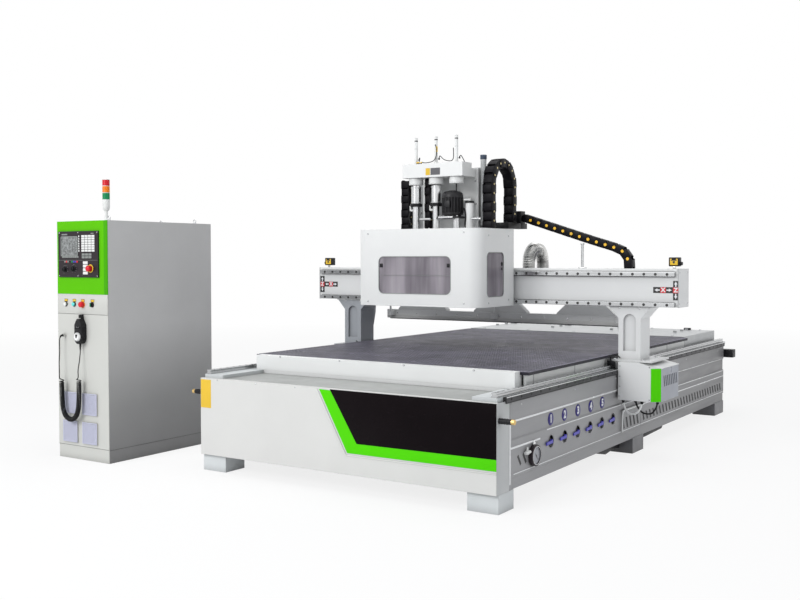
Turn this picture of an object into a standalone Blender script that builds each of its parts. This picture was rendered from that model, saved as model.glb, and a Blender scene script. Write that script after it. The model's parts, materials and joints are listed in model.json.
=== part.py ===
"""A three-spindle gantry router with its control cabinet.

Metres, +Z up, +Y from the front to the rear. Pieces are laid out around the bed: X = 0 is the bed's
middle and Y = 0 its front face. The last step moves the whole machine so that its footprint's centre,
without the pendant's cord, is the origin.
"""

import math

import bmesh
import bpy
from mathutils import Vector

# ---------------------------------------------------------------- driving sizes
SEAT = 0.0003  # gap kept between two pieces that touch or slide
SHEET = 0.004  # thickness of folded sheet covers

# Bed
BED_WIDTH = 2.20
BED_LENGTH = 4.397
BED_TOP = 0.636
FOOT_HEIGHT = 0.108
FOOT_WIDTH = 0.196
FRONT_FOOT = (0.025, 0.205)
MIDDLE_FOOT_DEPTH = 0.22
REAR_FOOT_DEPTH = 0.267
FASCIA_DROP = 0.0225  # from the bed's top to the front sheet's top
FASCIA_DEPTH = 0.18
DECK_DEPTH = 0.60
BUMPER_RADIUS = 0.014
BUMPER_PLACE = (0.03, 0.515)
BUMPER_REACH = 0.095
SIDE_BEAM_WIDTH = 0.158
SIDE_BEAM_LOW_WIDTH = 0.090
SIDE_BEAM_STEP = 0.37
SIDE_BEAM_BOTTOM = 0.17
BED_FRONT_INSET = 0.03
REAR_FLANGE = 0.093
CROSS_MEMBERS = 5
CROSS_MEMBER_FIRST = 0.24
CROSS_MEMBER_DEPTH = 0.12
CROSS_MEMBER_BOTTOM = 0.35
PANEL_DROP = 0.0363  # from the bed's top to the side panels' top
PANEL_RECESS = 0.008
PANEL_RECESS_LOW = 0.392
PANEL_RECESS_HIGH = 0.478
PANEL_FOLD = 0.178

# Table
TABLE_RISE = 0.099  # from the bed's top to the mat's top
SLAB_FRONT = 0.432
SLAB_INSET = 0.108
SLAB_DEPTH = 0.088
MAT_SETBACK = 0.068
MAT_LENGTH = 3.000
MAT_INSET = 0.05
MAT_THICKNESS = 0.022
TABLE_INSET = 0.08
SHELF_INSET = 0.017
SHELF_RISE = 0.104
PIN_ROWS = (0.41, 0.22, 0.08)  # in front of the shelf's rear edge
PIN_COLUMNS = 4
PIN_PITCH = 0.59
PIN_FIRST = -0.98
PIN_RADIUS = 0.016
PIN_HEIGHT = 0.014

# Rails and racks of the bed
RAIL_WIDTH = 0.035
RAIL_HEIGHT = 0.0277
RAIL_EDGE = 0.020  # from the side of the bed to the rail's outer side
RAIL_FRONT = 0.04
RAIL_OVERHANG = 0.053
RACK_HEIGHT = 0.0357
RACK_DEPTH = 0.022
RACK_FRONT = 0.10

# Vacuum valves and gauge
VALVES = 6
VALVE_PITCH = 0.200
VALVE_FIRST = 0.698
VALVE_HEIGHT = 0.302
VALVE_HOLE_RADIUS = 0.0375
VALVE_BODY_RADIUS = 0.028
VALVE_STEM_RADIUS = 0.008
PIPE_RADIUS = 0.022
LEVER_LENGTH = 0.080
LEVER_HALF_WIDTH = 0.009
LEVER_TILT = math.radians(4)
GAUGE_Y = 0.450
GAUGE_Z = 0.260
GAUGE_RADIUS = 0.0600

# Gantry
GANTRY_CLEARANCE = 0.4324  # from the bed's top to the beam's underside
BEAM_FRONT = 1.8127
BEAM_DEPTH = 0.2173
BEAM_HEIGHT = 0.2561
BEAM_OVERHANG = 0.411  # beyond the side of the bed
BEAM_WALL = 0.010
X_RAIL_SIZE = 0.030
X_RAIL_DEPTH = 0.0247
X_RAIL_DROP = 0.020  # from the beam's top to the upper rail
X_RAIL_END = 0.021
COLUMN_SETBACK = 0.008  # from the side of the bed to the column's inner side
COLUMN_WIDTH = 0.160
COLUMN_DEPTH = 0.18
COLUMN_FLARE = 0.072
COLUMN_FLARE_HEIGHT = 0.0834
COLUMN_PLATE_REACH = 0.088
COLUMN_PLATE_THICKNESS = 0.0126
COLUMN_PLATE_LAP = (0.03, 0.33)  # in front of and behind the column's front
ARCH_HALF = 0.045
ARCH_LOW = 0.06
ARCH_HIGH = 0.27
ARCH_DEPTH = 0.02
RUNNER_WALL = 0.0142
RUNNER_ROOF = 0.0237
RUNNER_LENGTH = 0.11
MOTOR_COVER_FRONT = 1.757
MOTOR_COVER_REAR = 2.17
MOTOR_COVER_REACH = 0.30
MOTOR_COVER_HEIGHT = 0.2604
MOTOR_COVER_DROP = 0.0327  # from its top inner edge to its top outer edge
MOTOR_COVER_CHAMFER = (0.051, 0.043)

# Dust bar and duct
BAR_INSET = 0.05
BAR_GAP = 0.105
BAR_DEPTH = 0.065
BAR_DROP = 0.1484  # from the beam's underside to the bar's underside
BAR_HEIGHT = 0.057
BRUSH_HEIGHT = 0.022
FUNNEL_PITCH = 0.71
FUNNEL_HALF = 0.23
FUNNEL_NECK_HALF = 0.05
FUNNEL_HEIGHT = 0.173
HEADER_RADIUS = 0.05
HEADER_RISE = 0.193  # from the bar's top to the header's middle
BAR_ROD_EDGE = 0.06
BAR_ROD_RADIUS = 0.008
BAR_ROD_HEIGHT = 0.333
GUIDE_HALF = 0.03
DUCT_X = 0.235
DUCT_RADIUS = 0.05
DUCT_SPAN = 0.25
DUCT_ARCH_RISE = 0.185
COLLECTOR_DROP = 0.0645  # from the beam's top to the collector's top

# Head
HEAD_X = -0.19
SPINDLE_PITCH = 0.172
SPINDLE_Y = 1.50
CARRIAGE_MARGIN = 0.115  # from a Z rail's middle to the carriage's side
CARRIAGE_GAP = 0.0377  # from the beam's front to the carriage's rear face
CARRIAGE_THICKNESS = 0.03
CARRIAGE_RISE = 0.7455
CARRIAGE_SKIRT = 0.0284
CARRIAGE_RUNNER = (0.06, 0.032)  # half width and half height
HOOD_LEFT_REACH = 0.246
HOOD_RIGHT_REACH = 0.185
HOOD_FRONT_REACH = 0.25
HOOD_REAR_GAP = 0.003
HOOD_HEIGHT = 0.555
HOOD_SKIRT = 0.0134  # below the beam
HOOD_CORNER = 0.10
WINDOW_MARGINS = (0.214, 0.224)  # from the hood's left and right sides
WINDOW_LIFT = 0.092
WINDOW_HEIGHT = 0.263
SIDE_WINDOW = (0.126, 0.372)  # behind the hood's front
SIDE_WINDOW_LIFT = 0.075
SIDE_WINDOW_HEIGHT = 0.308
WINDOW_SHEET = 0.003
Z_PLATE_GAP = 0.030
Z_PLATE_THICKNESS = 0.025
Z_PLATE_DROP = 0.250
Z_RAIL_MARGIN = 0.018  # from an outer spindle's axis to a Z rail's middle
Z_RAIL_WIDTH = 0.020
Z_RAIL_DEPTH = 0.020
Z_RUNNER_HEIGHT = 0.10
BRIDGE_RISE = 0.390
BRIDGE_HEIGHT = 0.100
BRIDGE_MARGINS = (0.078, 0.086)  # beyond the outer spindles' axes
BRIDGE_REACH = 0.065
BRIDGE_DEPTH = 0.135
COLLAR_RADIUS = 0.053
COLLAR_HEIGHT = 0.050
ROD_RADIUS = 0.005
AIR_CYLINDER_RADIUS = 0.0115
AIR_CYLINDER_HEIGHT = 0.200
SPINDLE_RADIUS = 0.054
SPINDLE_NECK_RADIUS = 0.026
SPINDLE_LENGTH = 0.400
SLEEVE_RADIUS = 0.0365
CLAMP_RADIUS = 0.043
COLLET_BODY_RADIUS = 0.022
COLLET_LENGTH = 0.0517
CUTTER_RADIUS = 0.006
CUTTER_LENGTH = 0.053
MOTOR_SHIFT = (-0.044, 0.020)  # from the third spindle's axis
MOTOR_RADIUS = 0.077
MOTOR_FINS = 20
MOTOR_HEIGHT = 0.145
POST_RADIUS = 0.022
RESERVOIR_RADIUS = 0.030
CHAIN_WIDTH = 0.080
CHAIN_THICKNESS = 0.065
CHAIN_GAP = 0.070  # from the carriage's side to the Z chain
CHAIN_REACH = (1.515, 1.905)
CHAIN_RISE = 0.330
CHAIN_ARM_DEPTH = 0.020

# Control cabinet
CABINET_LEFT = -2.282
CABINET_RIGHT = -1.760
CABINET_FRONT = -0.205
CABINET_REAR = 0.789
CABINET_TOP = 1.661
CABINET_FLOOR = 0.012
CONSOLE_HEIGHT = 0.507
PLINTH_TOP = 0.090
HINGE_RADIUS = 0.005
HINGE_LENGTH = 0.07
HINGE_PLACES = (0.30, 0.82, 1.34)
HANDLE_Y = -0.130
HANDLE_Z = 1.262
HANDLE_LENGTH = 0.075
HANDLE_SHAFT_RADIUS = 0.006
CONTROLLER_WIDTH = 0.415
CONTROLLER_HEIGHT = 0.319
CONTROLLER_LEFT = 0.025  # from the cabinet's left side
CONTROLLER_DROP = 0.071
CONTROLLER_EDGE = 0.018
CONTROLLER_BEZEL = 0.010
CONTROLLER_DEPTH = 0.075
ESTOP_X = -1.920
ESTOP_Z = 1.332
BUTTON_Z = 1.083
BUTTON_COLUMNS = (-2.191, -2.1035, -2.015, -1.915)
BUTTON_STEM = 0.008
BUTTON_STEM_LENGTH = 0.018
BUTTON_STROKE = 0.006
GRILLE = 0.150
GRILLE_PROUD = 0.008
GRILLE_COLUMNS = (-2.225, -2.022)
GRILLE_ROWS = (0.117, 0.318)
TOWER_X = -2.007
TOWER_Y = 0.0
TOWER_STEM = 0.145
TOWER_LAMPS = 0.140
TOWER_RADIUS = 0.026

# Hand pendant
PENDANT_X = -2.016
PENDANT_HALF = 0.036
PENDANT_LOW = 0.812
PENDANT_HIGH = 0.985
PENDANT_DEPTH = 0.045
DIAL_LIFT = 0.050
DIAL_RADIUS = 0.030
DIAL_STEM = 0.006
HOOK_HEIGHT = 0.027
GLAND_X = -2.205
GLAND_Z = 0.863
GLAND_REACH = 0.0203
CORD_RADIUS = 0.0035
COIL_RADIUS = 0.0185

# The pendant's cord, end to end: gland, straight lead, curly part, straight lead, pendant.
UPPER_LEAD = (
    (-2.205, -0.2257, 0.863),
    (-2.205, -0.2330, 0.863),
    (-2.2055, -0.2430, 0.859),
    (-2.2065, -0.2510, 0.842),
    (-2.2075, -0.2530, 0.800),
    (-2.208, -0.2520, 0.755),
    (-2.208, -0.2505, 0.700),
    (-2.208, -0.2500, 0.640),
    (-2.208, -0.2500, 0.5763),
)
COIL_PATH = (
    (-2.194, -0.250, 0.5760),
    (-2.191, -0.250, 0.500),
    (-2.188, -0.250, 0.430),
    (-2.181, -0.250, 0.365),
    (-2.162, -0.250, 0.318),
    (-2.132, -0.250, 0.292),
    (-2.099, -0.250, 0.284),
    (-2.066, -0.250, 0.292),
    (-2.037, -0.250, 0.318),
    (-2.019, -0.250, 0.365),
    (-2.012, -0.250, 0.430),
    (-2.010, -0.250, 0.500),
    (-2.011, -0.250, 0.5860),
)
LOWER_LEAD = (
    (-2.011, -0.250, 0.5863),
    (-2.013, -0.248, 0.640),
    (-2.011, -0.243, 0.695),
    (-2.010, -0.237, 0.745),
    (-2.014, -0.232, 0.780),
    (-2.016, -0.230, 0.800),
    (-2.016, -0.230, 0.8117),
)

# ---------------------------------------------------------------- worked-out sizes
HALF = BED_WIDTH / 2
FASCIA_TOP = BED_TOP - FASCIA_DROP
PANEL_TOP = BED_TOP - PANEL_DROP
SIDE_BEAM_OUTER = HALF - PANEL_RECESS - SHEET - SEAT
SIDE_BEAM_INNER = SIDE_BEAM_OUTER - SIDE_BEAM_WIDTH
SKIRT_BOTTOM = FOOT_HEIGHT + SEAT
MAT_TOP = BED_TOP + TABLE_RISE
MAT_BOTTOM = MAT_TOP - MAT_THICKNESS
MAT_HALF = HALF - MAT_INSET
MAT_FRONT = SLAB_FRONT + MAT_SETBACK
MAT_REAR = MAT_FRONT + MAT_LENGTH
TABLE_HALF = HALF - TABLE_INSET
SHELF_TOP = BED_TOP + SHELF_RISE
SHELF_END = BED_LENGTH - SHELF_INSET
RAIL_OUTER = HALF - RAIL_EDGE
RAIL_INNER = RAIL_OUTER - RAIL_WIDTH
RAIL_TOP = BED_TOP + SEAT + RAIL_HEIGHT
RAIL_REAR = BED_LENGTH + RAIL_OVERHANG
RACK_INNER = SIDE_BEAM_OUTER + SEAT
RACK_OUTER = RACK_INNER + RACK_DEPTH
PIPE_X = SIDE_BEAM_INNER + SIDE_BEAM_LOW_WIDTH + PIPE_RADIUS + 0.014

BEAM_HALF = HALF + BEAM_OVERHANG
BEAM_REAR = BEAM_FRONT + BEAM_DEPTH
BEAM_BOTTOM = BED_TOP + GANTRY_CLEARANCE
BEAM_TOP = BEAM_BOTTOM + BEAM_HEIGHT
X_RAIL_HIGH = BEAM_TOP - X_RAIL_DROP - X_RAIL_SIZE / 2
X_RAIL_LOW = BEAM_BOTTOM + X_RAIL_SIZE / 2
X_RAIL_REAR = BEAM_FRONT - SEAT
COLUMN_INNER = HALF - COLUMN_SETBACK
COLUMN_OUTER = COLUMN_INNER + COLUMN_WIDTH
COLUMN_MIDDLE = (COLUMN_INNER + COLUMN_OUTER) / 2
COLUMN_PLATE_BOTTOM = RAIL_TOP + RUNNER_ROOF
COLUMN_PLATE_TOP = COLUMN_PLATE_BOTTOM + COLUMN_PLATE_THICKNESS
COLUMN_FLARE_START = BEAM_BOTTOM - COLUMN_FLARE_HEIGHT
DRIVE_X = (COLUMN_MIDDLE - 0.03, COLUMN_MIDDLE + 0.07)
DRIVE_Y = (BEAM_FRONT + 0.09, BEAM_FRONT + 0.21)
MOTOR_COVER_INNER = RACK_OUTER + 0.002
MOTOR_COVER_OUTER = HALF + MOTOR_COVER_REACH
MOTOR_COVER_TOP = COLUMN_PLATE_BOTTOM - SEAT
MOTOR_COVER_EDGE = MOTOR_COVER_TOP - MOTOR_COVER_DROP
MOTOR_COVER_BOTTOM = MOTOR_COVER_TOP - MOTOR_COVER_HEIGHT

BAR_HALF = HALF - BAR_INSET
BAR_FRONT = BEAM_REAR + BAR_GAP
BAR_MIDDLE = BAR_FRONT + BAR_DEPTH / 2
BAR_BOTTOM = BEAM_BOTTOM - BAR_DROP
BAR_TOP = BAR_BOTTOM + BAR_HEIGHT
BAR_ROD_Y = BEAM_REAR + 0.065
BAR_RODS = (BAR_ROD_EDGE - BAR_HALF, -0.03, BAR_HALF - BAR_ROD_EDGE)
FUNNEL_TOP = BAR_TOP + FUNNEL_HEIGHT
HEADER_Z = BAR_TOP + HEADER_RISE
DUCT_REAR = BAR_MIDDLE + DUCT_SPAN
DUCT_ARCH_Z = HEADER_Z + DUCT_ARCH_RISE
COLLECTOR_TOP = BEAM_TOP - COLLECTOR_DROP

SPINDLES = (HEAD_X - SPINDLE_PITCH, HEAD_X, HEAD_X + SPINDLE_PITCH)
Z_RAIL_OFFSET = SPINDLE_PITCH + Z_RAIL_MARGIN
Z_RAILS = (HEAD_X - Z_RAIL_OFFSET, HEAD_X + Z_RAIL_OFFSET)
CARRIAGE_LEFT = Z_RAILS[0] - CARRIAGE_MARGIN
CARRIAGE_RIGHT = Z_RAILS[1] + CARRIAGE_MARGIN
CARRIAGE_REAR = BEAM_FRONT - CARRIAGE_GAP
CARRIAGE_FRONT = CARRIAGE_REAR - CARRIAGE_THICKNESS
CARRIAGE_TOP = BEAM_TOP + CARRIAGE_RISE
CARRIAGE_BOTTOM = BEAM_BOTTOM - CARRIAGE_SKIRT
HOOD_LEFT = CARRIAGE_LEFT - HOOD_LEFT_REACH
HOOD_RIGHT = CARRIAGE_RIGHT + HOOD_RIGHT_REACH
HOOD_FRONT = SPINDLE_Y - HOOD_FRONT_REACH
HOOD_REAR = BEAM_FRONT - X_RAIL_DEPTH - HOOD_REAR_GAP
HOOD_BOTTOM = BEAM_BOTTOM - HOOD_SKIRT
HOOD_TOP = HOOD_BOTTOM + HOOD_HEIGHT
WINDOW_X = (HOOD_LEFT + WINDOW_MARGINS[0], HOOD_RIGHT - WINDOW_MARGINS[1])
WINDOW_Z = (HOOD_BOTTOM + WINDOW_LIFT, HOOD_BOTTOM + WINDOW_LIFT + WINDOW_HEIGHT)
SIDE_WINDOW_Y = (HOOD_FRONT + SIDE_WINDOW[0], HOOD_FRONT + SIDE_WINDOW[1])
SIDE_WINDOW_LOW = HOOD_BOTTOM + SIDE_WINDOW_LIFT
SIDE_WINDOW_Z = (SIDE_WINDOW_LOW, SIDE_WINDOW_LOW + SIDE_WINDOW_HEIGHT)
SPINDLE_TOP = HOOD_TOP - 0.010
COLLET_TOP = SPINDLE_TOP - SPINDLE_LENGTH - SEAT
Z_PLATE_REAR = CARRIAGE_FRONT - Z_PLATE_GAP
Z_PLATE_FRONT = Z_PLATE_REAR - Z_PLATE_THICKNESS
Z_PLATE_BOTTOM = SPINDLE_TOP - Z_PLATE_DROP
Z_PLATE_X = (Z_RAILS[0] - 0.040, Z_RAILS[1] + 0.055)
Z_RAIL_FRONT = CARRIAGE_FRONT - Z_RAIL_DEPTH
BRIDGE_X = (SPINDLES[0] - BRIDGE_MARGINS[0], SPINDLES[2] + BRIDGE_MARGINS[1])
BRIDGE_LOW = SPINDLE_TOP + BRIDGE_RISE
BRIDGE_HIGH = BRIDGE_LOW + BRIDGE_HEIGHT
BRIDGE_FRONT = SPINDLE_Y - BRIDGE_REACH
AIR_CYLINDER_TOP = BRIDGE_HIGH + AIR_CYLINDER_HEIGHT
ROD_TOP = BRIDGE_HIGH + 0.070
MOTOR_X = SPINDLES[2] + MOTOR_SHIFT[0]
MOTOR_Y = SPINDLE_Y + MOTOR_SHIFT[1]
MOTOR_FOOT = SPINDLE_TOP + 0.0903
Z_ARM_TOP = SPINDLE_TOP
CARRIAGE_ARM_TOP = SPINDLE_TOP + 0.060
CHAIN_X = CARRIAGE_RIGHT + CHAIN_GAP
ARM_END = CHAIN_X + CHAIN_WIDTH + 0.010

CONSOLE_LOW = CABINET_TOP - CONSOLE_HEIGHT
PANEL_FACE = CABINET_FRONT + SHEET
SHELL_FRONT = PANEL_FACE + SEAT
SHELL_LEFT = CABINET_LEFT + SHEET + SEAT
HINGE_X = CABINET_LEFT - HINGE_RADIUS + 0.0005
HINGE_Y = CABINET_REAR - HINGE_RADIUS + 0.001
CONTROLLER_X = (CABINET_LEFT + CONTROLLER_LEFT, CABINET_LEFT + CONTROLLER_LEFT + CONTROLLER_WIDTH)
CONTROLLER_Z = (CABINET_TOP - CONTROLLER_DROP - CONTROLLER_HEIGHT, CABINET_TOP - CONTROLLER_DROP)
GLAND_END = CABINET_FRONT - GLAND_REACH
DIAL_Z = PENDANT_LOW + DIAL_LIFT

# ---------------------------------------------------------------- scene, groups, materials


def clear_scene():
    for obj in list(bpy.data.objects):
        bpy.data.objects.remove(obj)


def new_collection(name, hidden=False):
    collection = bpy.data.collections.new(name)
    bpy.context.scene.collection.children.link(collection)
    collection.hide_render = hidden
    return collection


def material(name, colour, roughness=0.5, metallic=0.0):
    made = bpy.data.materials.new(name)
    made.use_nodes = True
    shader = made.node_tree.nodes["Principled BSDF"]
    shader.inputs["Base Color"].default_value = (*colour, 1.0)
    shader.inputs["Roughness"].default_value = roughness
    shader.inputs["Metallic"].default_value = metallic
    return made


def empty(name, place, parent=None):
    """An axis or group marker; pieces that move together hang from it."""
    made = bpy.data.objects.new(name, None)
    PARTS.objects.link(made)
    made.empty_display_size = 0.1
    made.parent = parent
    made.location = Vector(place) - place_of(parent)
    return made


def place_of(obj):
    """Where an object's origin lies before the machine is centred."""
    place = Vector((0, 0, 0))
    while obj is not None:
        place += obj.location
        obj = obj.parent
    return place


# ---------------------------------------------------------------- shapes


def box(x, y, z):
    shape = bmesh.new()
    bmesh.ops.create_cube(shape, size=1.0)
    low = Vector((min(x), min(y), min(z)))
    high = Vector((max(x), max(y), max(z)))
    bmesh.ops.scale(shape, vec=high - low, verts=shape.verts)
    bmesh.ops.translate(shape, vec=(high + low) / 2, verts=shape.verts)
    return shape


def oriented(axis, a, b, along):
    """A point given in the plane across an axis, and its place along it."""
    if axis == "X":
        return Vector((along, a, b))
    if axis == "Y":
        return Vector((a, along, b))
    return Vector((a, b, along))


def prism(axis, outline, span):
    """An outline in the plane across an axis, drawn out along it."""
    shape = bmesh.new()
    corners = [shape.verts.new(oriented(axis, a, b, span[0])) for a, b in outline]
    face = shape.faces.new(corners)
    drawn = bmesh.ops.extrude_face_region(shape, geom=[face])
    moved = [item for item in drawn["geom"] if isinstance(item, bmesh.types.BMVert)]
    bmesh.ops.translate(shape, vec=oriented(axis, 0, 0, span[1] - span[0]), verts=moved)
    bmesh.ops.recalc_face_normals(shape, faces=shape.faces)
    return shape


def rod(axis, centre, radius, span, sides=16):
    """A round bar along an axis; centre is its place in the plane across that axis."""
    turn = math.tau / sides
    outline = [
        (centre[0] + radius * math.cos(i * turn), centre[1] + radius * math.sin(i * turn))
        for i in range(sides)
    ]
    return prism(axis, outline, span)


def mirrored(outline, side):
    return [(a * side, b) for a, b in outline]


def joined_bodies(shapes, pivot):
    """One mesh that holds all the shapes as they are, with its origin at the pivot."""
    mesh = bpy.data.meshes.new("shape")
    whole = bmesh.new()
    for shape in shapes:
        piece = bpy.data.meshes.new("piece")
        shape.to_mesh(piece)
        shape.free()
        whole.from_mesh(piece)
        bpy.data.meshes.remove(piece)
    bmesh.ops.translate(whole, vec=-Vector(pivot), verts=whole.verts)
    whole.to_mesh(mesh)
    whole.free()
    return mesh


def helper(name, shapes, parent, pivot):
    made = bpy.data.objects.new(name, joined_bodies(shapes, pivot))
    CUTTERS.objects.link(made)
    made.parent = parent
    made.location = Vector(pivot) - place_of(parent)
    made.hide_render = True
    made.display_type = "WIRE"
    return made


def boolean(obj, other, operation):
    modifier = obj.modifiers.new(operation.lower(), "BOOLEAN")
    modifier.operation = operation
    modifier.object = other


def piece(name, shapes, finish, parent, pivot=None, cuts=()):
    """One sub-part: the first shape, with the others joined to it and the cuts taken away."""
    pivot = place_of(parent) if pivot is None else Vector(pivot)
    mesh = joined_bodies(shapes[:1], pivot)
    mesh.name = name
    mesh.materials.append(finish)
    made = bpy.data.objects.new(name, mesh)
    PARTS.objects.link(made)
    made.parent = parent
    made.location = pivot - place_of(parent)
    for number, shape in enumerate(shapes[1:], 1):
        boolean(made, helper(f"{name}_join_{number}", [shape], parent, pivot), "UNION")
    if cuts:
        boolean(made, helper(f"{name}_cuts", cuts, parent, pivot), "DIFFERENCE")
    mesh.shade_smooth()
    mesh.set_sharp_from_angle(angle=math.radians(35))
    return made


def turned(name, profile, finish, parent, pivot, axis="Z", steps=20):
    """A profile of (radius, height) points turned round an axis through the pivot."""
    mesh = bpy.data.meshes.new(name)
    points = [(radius, 0, height) for radius, height in profile]
    edges = [(i, i + 1) for i in range(len(points) - 1)]
    mesh.from_pydata(points, edges, [])
    mesh.materials.append(finish)
    made = bpy.data.objects.new(name, mesh)
    PARTS.objects.link(made)
    made.parent = parent
    made.location = Vector(pivot) - place_of(parent)
    made.rotation_euler = {"X": (0, math.pi / 2, 0), "Y": (math.pi / 2, 0, 0), "Z": (0, 0, 0)}[axis]
    screw = made.modifiers.new("turn", "SCREW")
    screw.steps = steps
    screw.render_steps = steps
    screw.use_merge_vertices = True
    screw.merge_threshold = 0.00001
    screw.use_smooth_shade = True
    return made


def smooth_points(points, spacing):
    """Points on a smooth curve through the given ones."""
    knots = [Vector(point) for point in points]
    knots = [knots[0] * 2 - knots[1]] + knots + [knots[-1] * 2 - knots[-2]]
    found = []
    for before, start, end, after in zip(knots, knots[1:], knots[2:], knots[3:]):
        steps = max(1, round((end - start).length / spacing))
        for i in range(steps):
            t = i / steps
            found.append(
                0.5
                * (
                    2 * start
                    + (end - before) * t
                    + (2 * before - 5 * start + 4 * end - after) * t**2
                    + (3 * start - before - 3 * end + after) * t**3
                )
            )
    return found + [knots[-2]]


def tube(name, points, radius, finish, parent, resolution=2):
    curve = bpy.data.curves.new(name, "CURVE")
    curve.dimensions = "3D"
    curve.bevel_depth = radius
    curve.bevel_resolution = resolution
    curve.use_fill_caps = True
    spline = curve.splines.new("POLY")
    spline.points.add(len(points) - 1)
    shift = place_of(parent)
    for point, place in zip(spline.points, points):
        point.co = (*(Vector(place) - shift), 1.0)
    curve.materials.append(finish)
    made = bpy.data.objects.new(name, curve)
    PARTS.objects.link(made)
    made.parent = parent
    return made


# ---------------------------------------------------------------- base


def corner_feet():
    """The six feet, each with the leg that carries the side beam."""
    middle = (BED_LENGTH - MIDDLE_FOOT_DEPTH) / 2 - 0.0085
    depths = (FRONT_FOOT, (middle, middle + MIDDLE_FOOT_DEPTH), (BED_LENGTH - REAR_FOOT_DEPTH, BED_LENGTH))
    inset = 0.01
    shapes = []
    for side in (-1, 1):
        for front, rear in depths:
            outer = (side * (HALF - FOOT_WIDTH), side * HALF)
            leg = (side * (SIDE_BEAM_INNER + inset), side * (SIDE_BEAM_OUTER - inset))
            shapes.append(box(outer, (front, rear), (0, FOOT_HEIGHT)))
            leg_height = (FOOT_HEIGHT / 2, SIDE_BEAM_BOTTOM + 2 * inset)
            shapes.append(box(leg, (front + inset, rear - inset), leg_height))
    return shapes


def rear_stop(side):
    """Flange that carries the rail's end, with the black stop below it."""
    rear = BED_LENGTH + REAR_FLANGE
    beam_width = (side * SIDE_BEAM_INNER, side * SIDE_BEAM_OUTER)
    flange = box(beam_width, (BED_LENGTH - 0.10, rear), (BED_TOP - SHEET * 6, BED_TOP))
    bracket_width = (side * (HALF - 0.09), side * (HALF - 0.03))
    bracket = box(bracket_width, (rear - 0.05, rear - 0.01), (BED_TOP - 0.136, BED_TOP - 0.016))
    stop_width = (side * (HALF - 0.05), side * (HALF + 0.07))
    stop = box(stop_width, (rear - 0.04, rear + 0.04), (BED_TOP - 0.141, BED_TOP - 0.071))
    return [flange, bracket, stop]


def side_beam(side):
    outline = [
        (SIDE_BEAM_INNER, SIDE_BEAM_BOTTOM),
        (SIDE_BEAM_INNER + SIDE_BEAM_LOW_WIDTH, SIDE_BEAM_BOTTOM),
        (SIDE_BEAM_INNER + SIDE_BEAM_LOW_WIDTH, SIDE_BEAM_STEP),
        (SIDE_BEAM_OUTER, SIDE_BEAM_STEP),
        (SIDE_BEAM_OUTER, BED_TOP),
        (SIDE_BEAM_INNER, BED_TOP),
    ]
    return prism("Y", mirrored(outline, side), (BED_FRONT_INSET, BED_LENGTH))


def cross_members():
    pitch = (BED_LENGTH - CROSS_MEMBER_DEPTH - 2 * CROSS_MEMBER_FIRST) / (CROSS_MEMBERS - 1)
    reach = SIDE_BEAM_INNER + 0.01
    shapes = []
    for number in range(CROSS_MEMBERS):
        front = CROSS_MEMBER_FIRST + number * pitch
        under_deck = front < DECK_DEPTH
        top = FASCIA_TOP - SHEET * 1.25 - SEAT if under_deck else BED_TOP
        depth = (front, front + CROSS_MEMBER_DEPTH)
        shapes.append(box((-reach, reach), depth, (CROSS_MEMBER_BOTTOM, top)))
    return shapes


def bed_frame():
    reach = SIDE_BEAM_INNER + 0.01
    rear_y = (BED_LENGTH - 3 * SHEET, BED_LENGTH)
    rear_plate = box((-reach, reach), rear_y, (FOOT_HEIGHT + 3 * SHEET, PANEL_TOP))
    shapes = [side_beam(1), *cross_members(), side_beam(-1), rear_plate]
    shapes += corner_feet() + rear_stop(1) + rear_stop(-1)
    piece("bed_frame", shapes, PAINT_GREY, MACHINE)


def front_fascia():
    """Front sheet with its two returns, the deck behind it and the two front bumpers."""
    step = SHEET / 4  # keeps the joined sheets' faces clear of one another
    deck_half = SIDE_BEAM_INNER - SEAT
    front = [
        (0, SKIRT_BOTTOM),
        (SHEET, SKIRT_BOTTOM),
        (SHEET, FASCIA_TOP - SHEET),
        (BED_FRONT_INSET - SEAT, FASCIA_TOP - SHEET),
        (BED_FRONT_INSET - SEAT, FASCIA_TOP),
        (0, FASCIA_TOP),
    ]
    deck = (FASCIA_TOP - SHEET - step, FASCIA_TOP - step)
    shapes = [
        prism("X", front, (-HALF, HALF)),
        box((-deck_half, deck_half), (step, DECK_DEPTH), deck),
    ]
    for side in (-1, 1):
        wall = (side * (HALF - step - SHEET), side * (HALF - step))
        shapes.append(box(wall, (step, FASCIA_DEPTH), (SKIRT_BOTTOM + step, PANEL_TOP)))
        reach = (side * (HALF - step - SHEET / 2), side * (HALF + BUMPER_REACH))
        shapes.append(rod("X", BUMPER_PLACE, BUMPER_RADIUS, (min(reach), max(reach)), 12))
    piece("front_fascia", shapes, PAINT_WHITE, MACHINE)


def side_panel(name, side, cuts=()):
    """Pressed sheet cover along the side of the bed, with a recessed band bolted to the side beam."""
    outer = (
        (0, PANEL_TOP),
        (0, PANEL_RECESS_HIGH + PANEL_RECESS),
        (-PANEL_RECESS, PANEL_RECESS_HIGH),
        (-PANEL_RECESS, PANEL_RECESS_LOW),
        (0, PANEL_RECESS_LOW - PANEL_RECESS),
        (0, PANEL_FOLD),
        (-0.006, PANEL_FOLD - 0.006),
        (-0.006, SKIRT_BOTTOM),
    )
    face = [(HALF + dx, z) for dx, z in outer]
    back = [(x - SHEET, z) for x, z in reversed(face)]
    shape = prism("Y", mirrored(face + back, side), (FASCIA_DEPTH + SEAT, BED_LENGTH))
    piece(name, [shape], PAINT_GREY, MACHINE, cuts=cuts)


def valve_places():
    return [VALVE_FIRST + VALVE_PITCH * number for number in range(VALVES)]


def panel_holes():
    """Round holes of the right panel, for the valves and the gauge."""
    span = (HALF - 0.05, HALF + 0.05)
    holes = [rod("X", (y, VALVE_HEIGHT), VALVE_HOLE_RADIUS, span) for y in valve_places()]
    return holes + [rod("X", (GAUGE_Y, GAUGE_Z), GAUGE_RADIUS - 0.008, span)]


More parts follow.
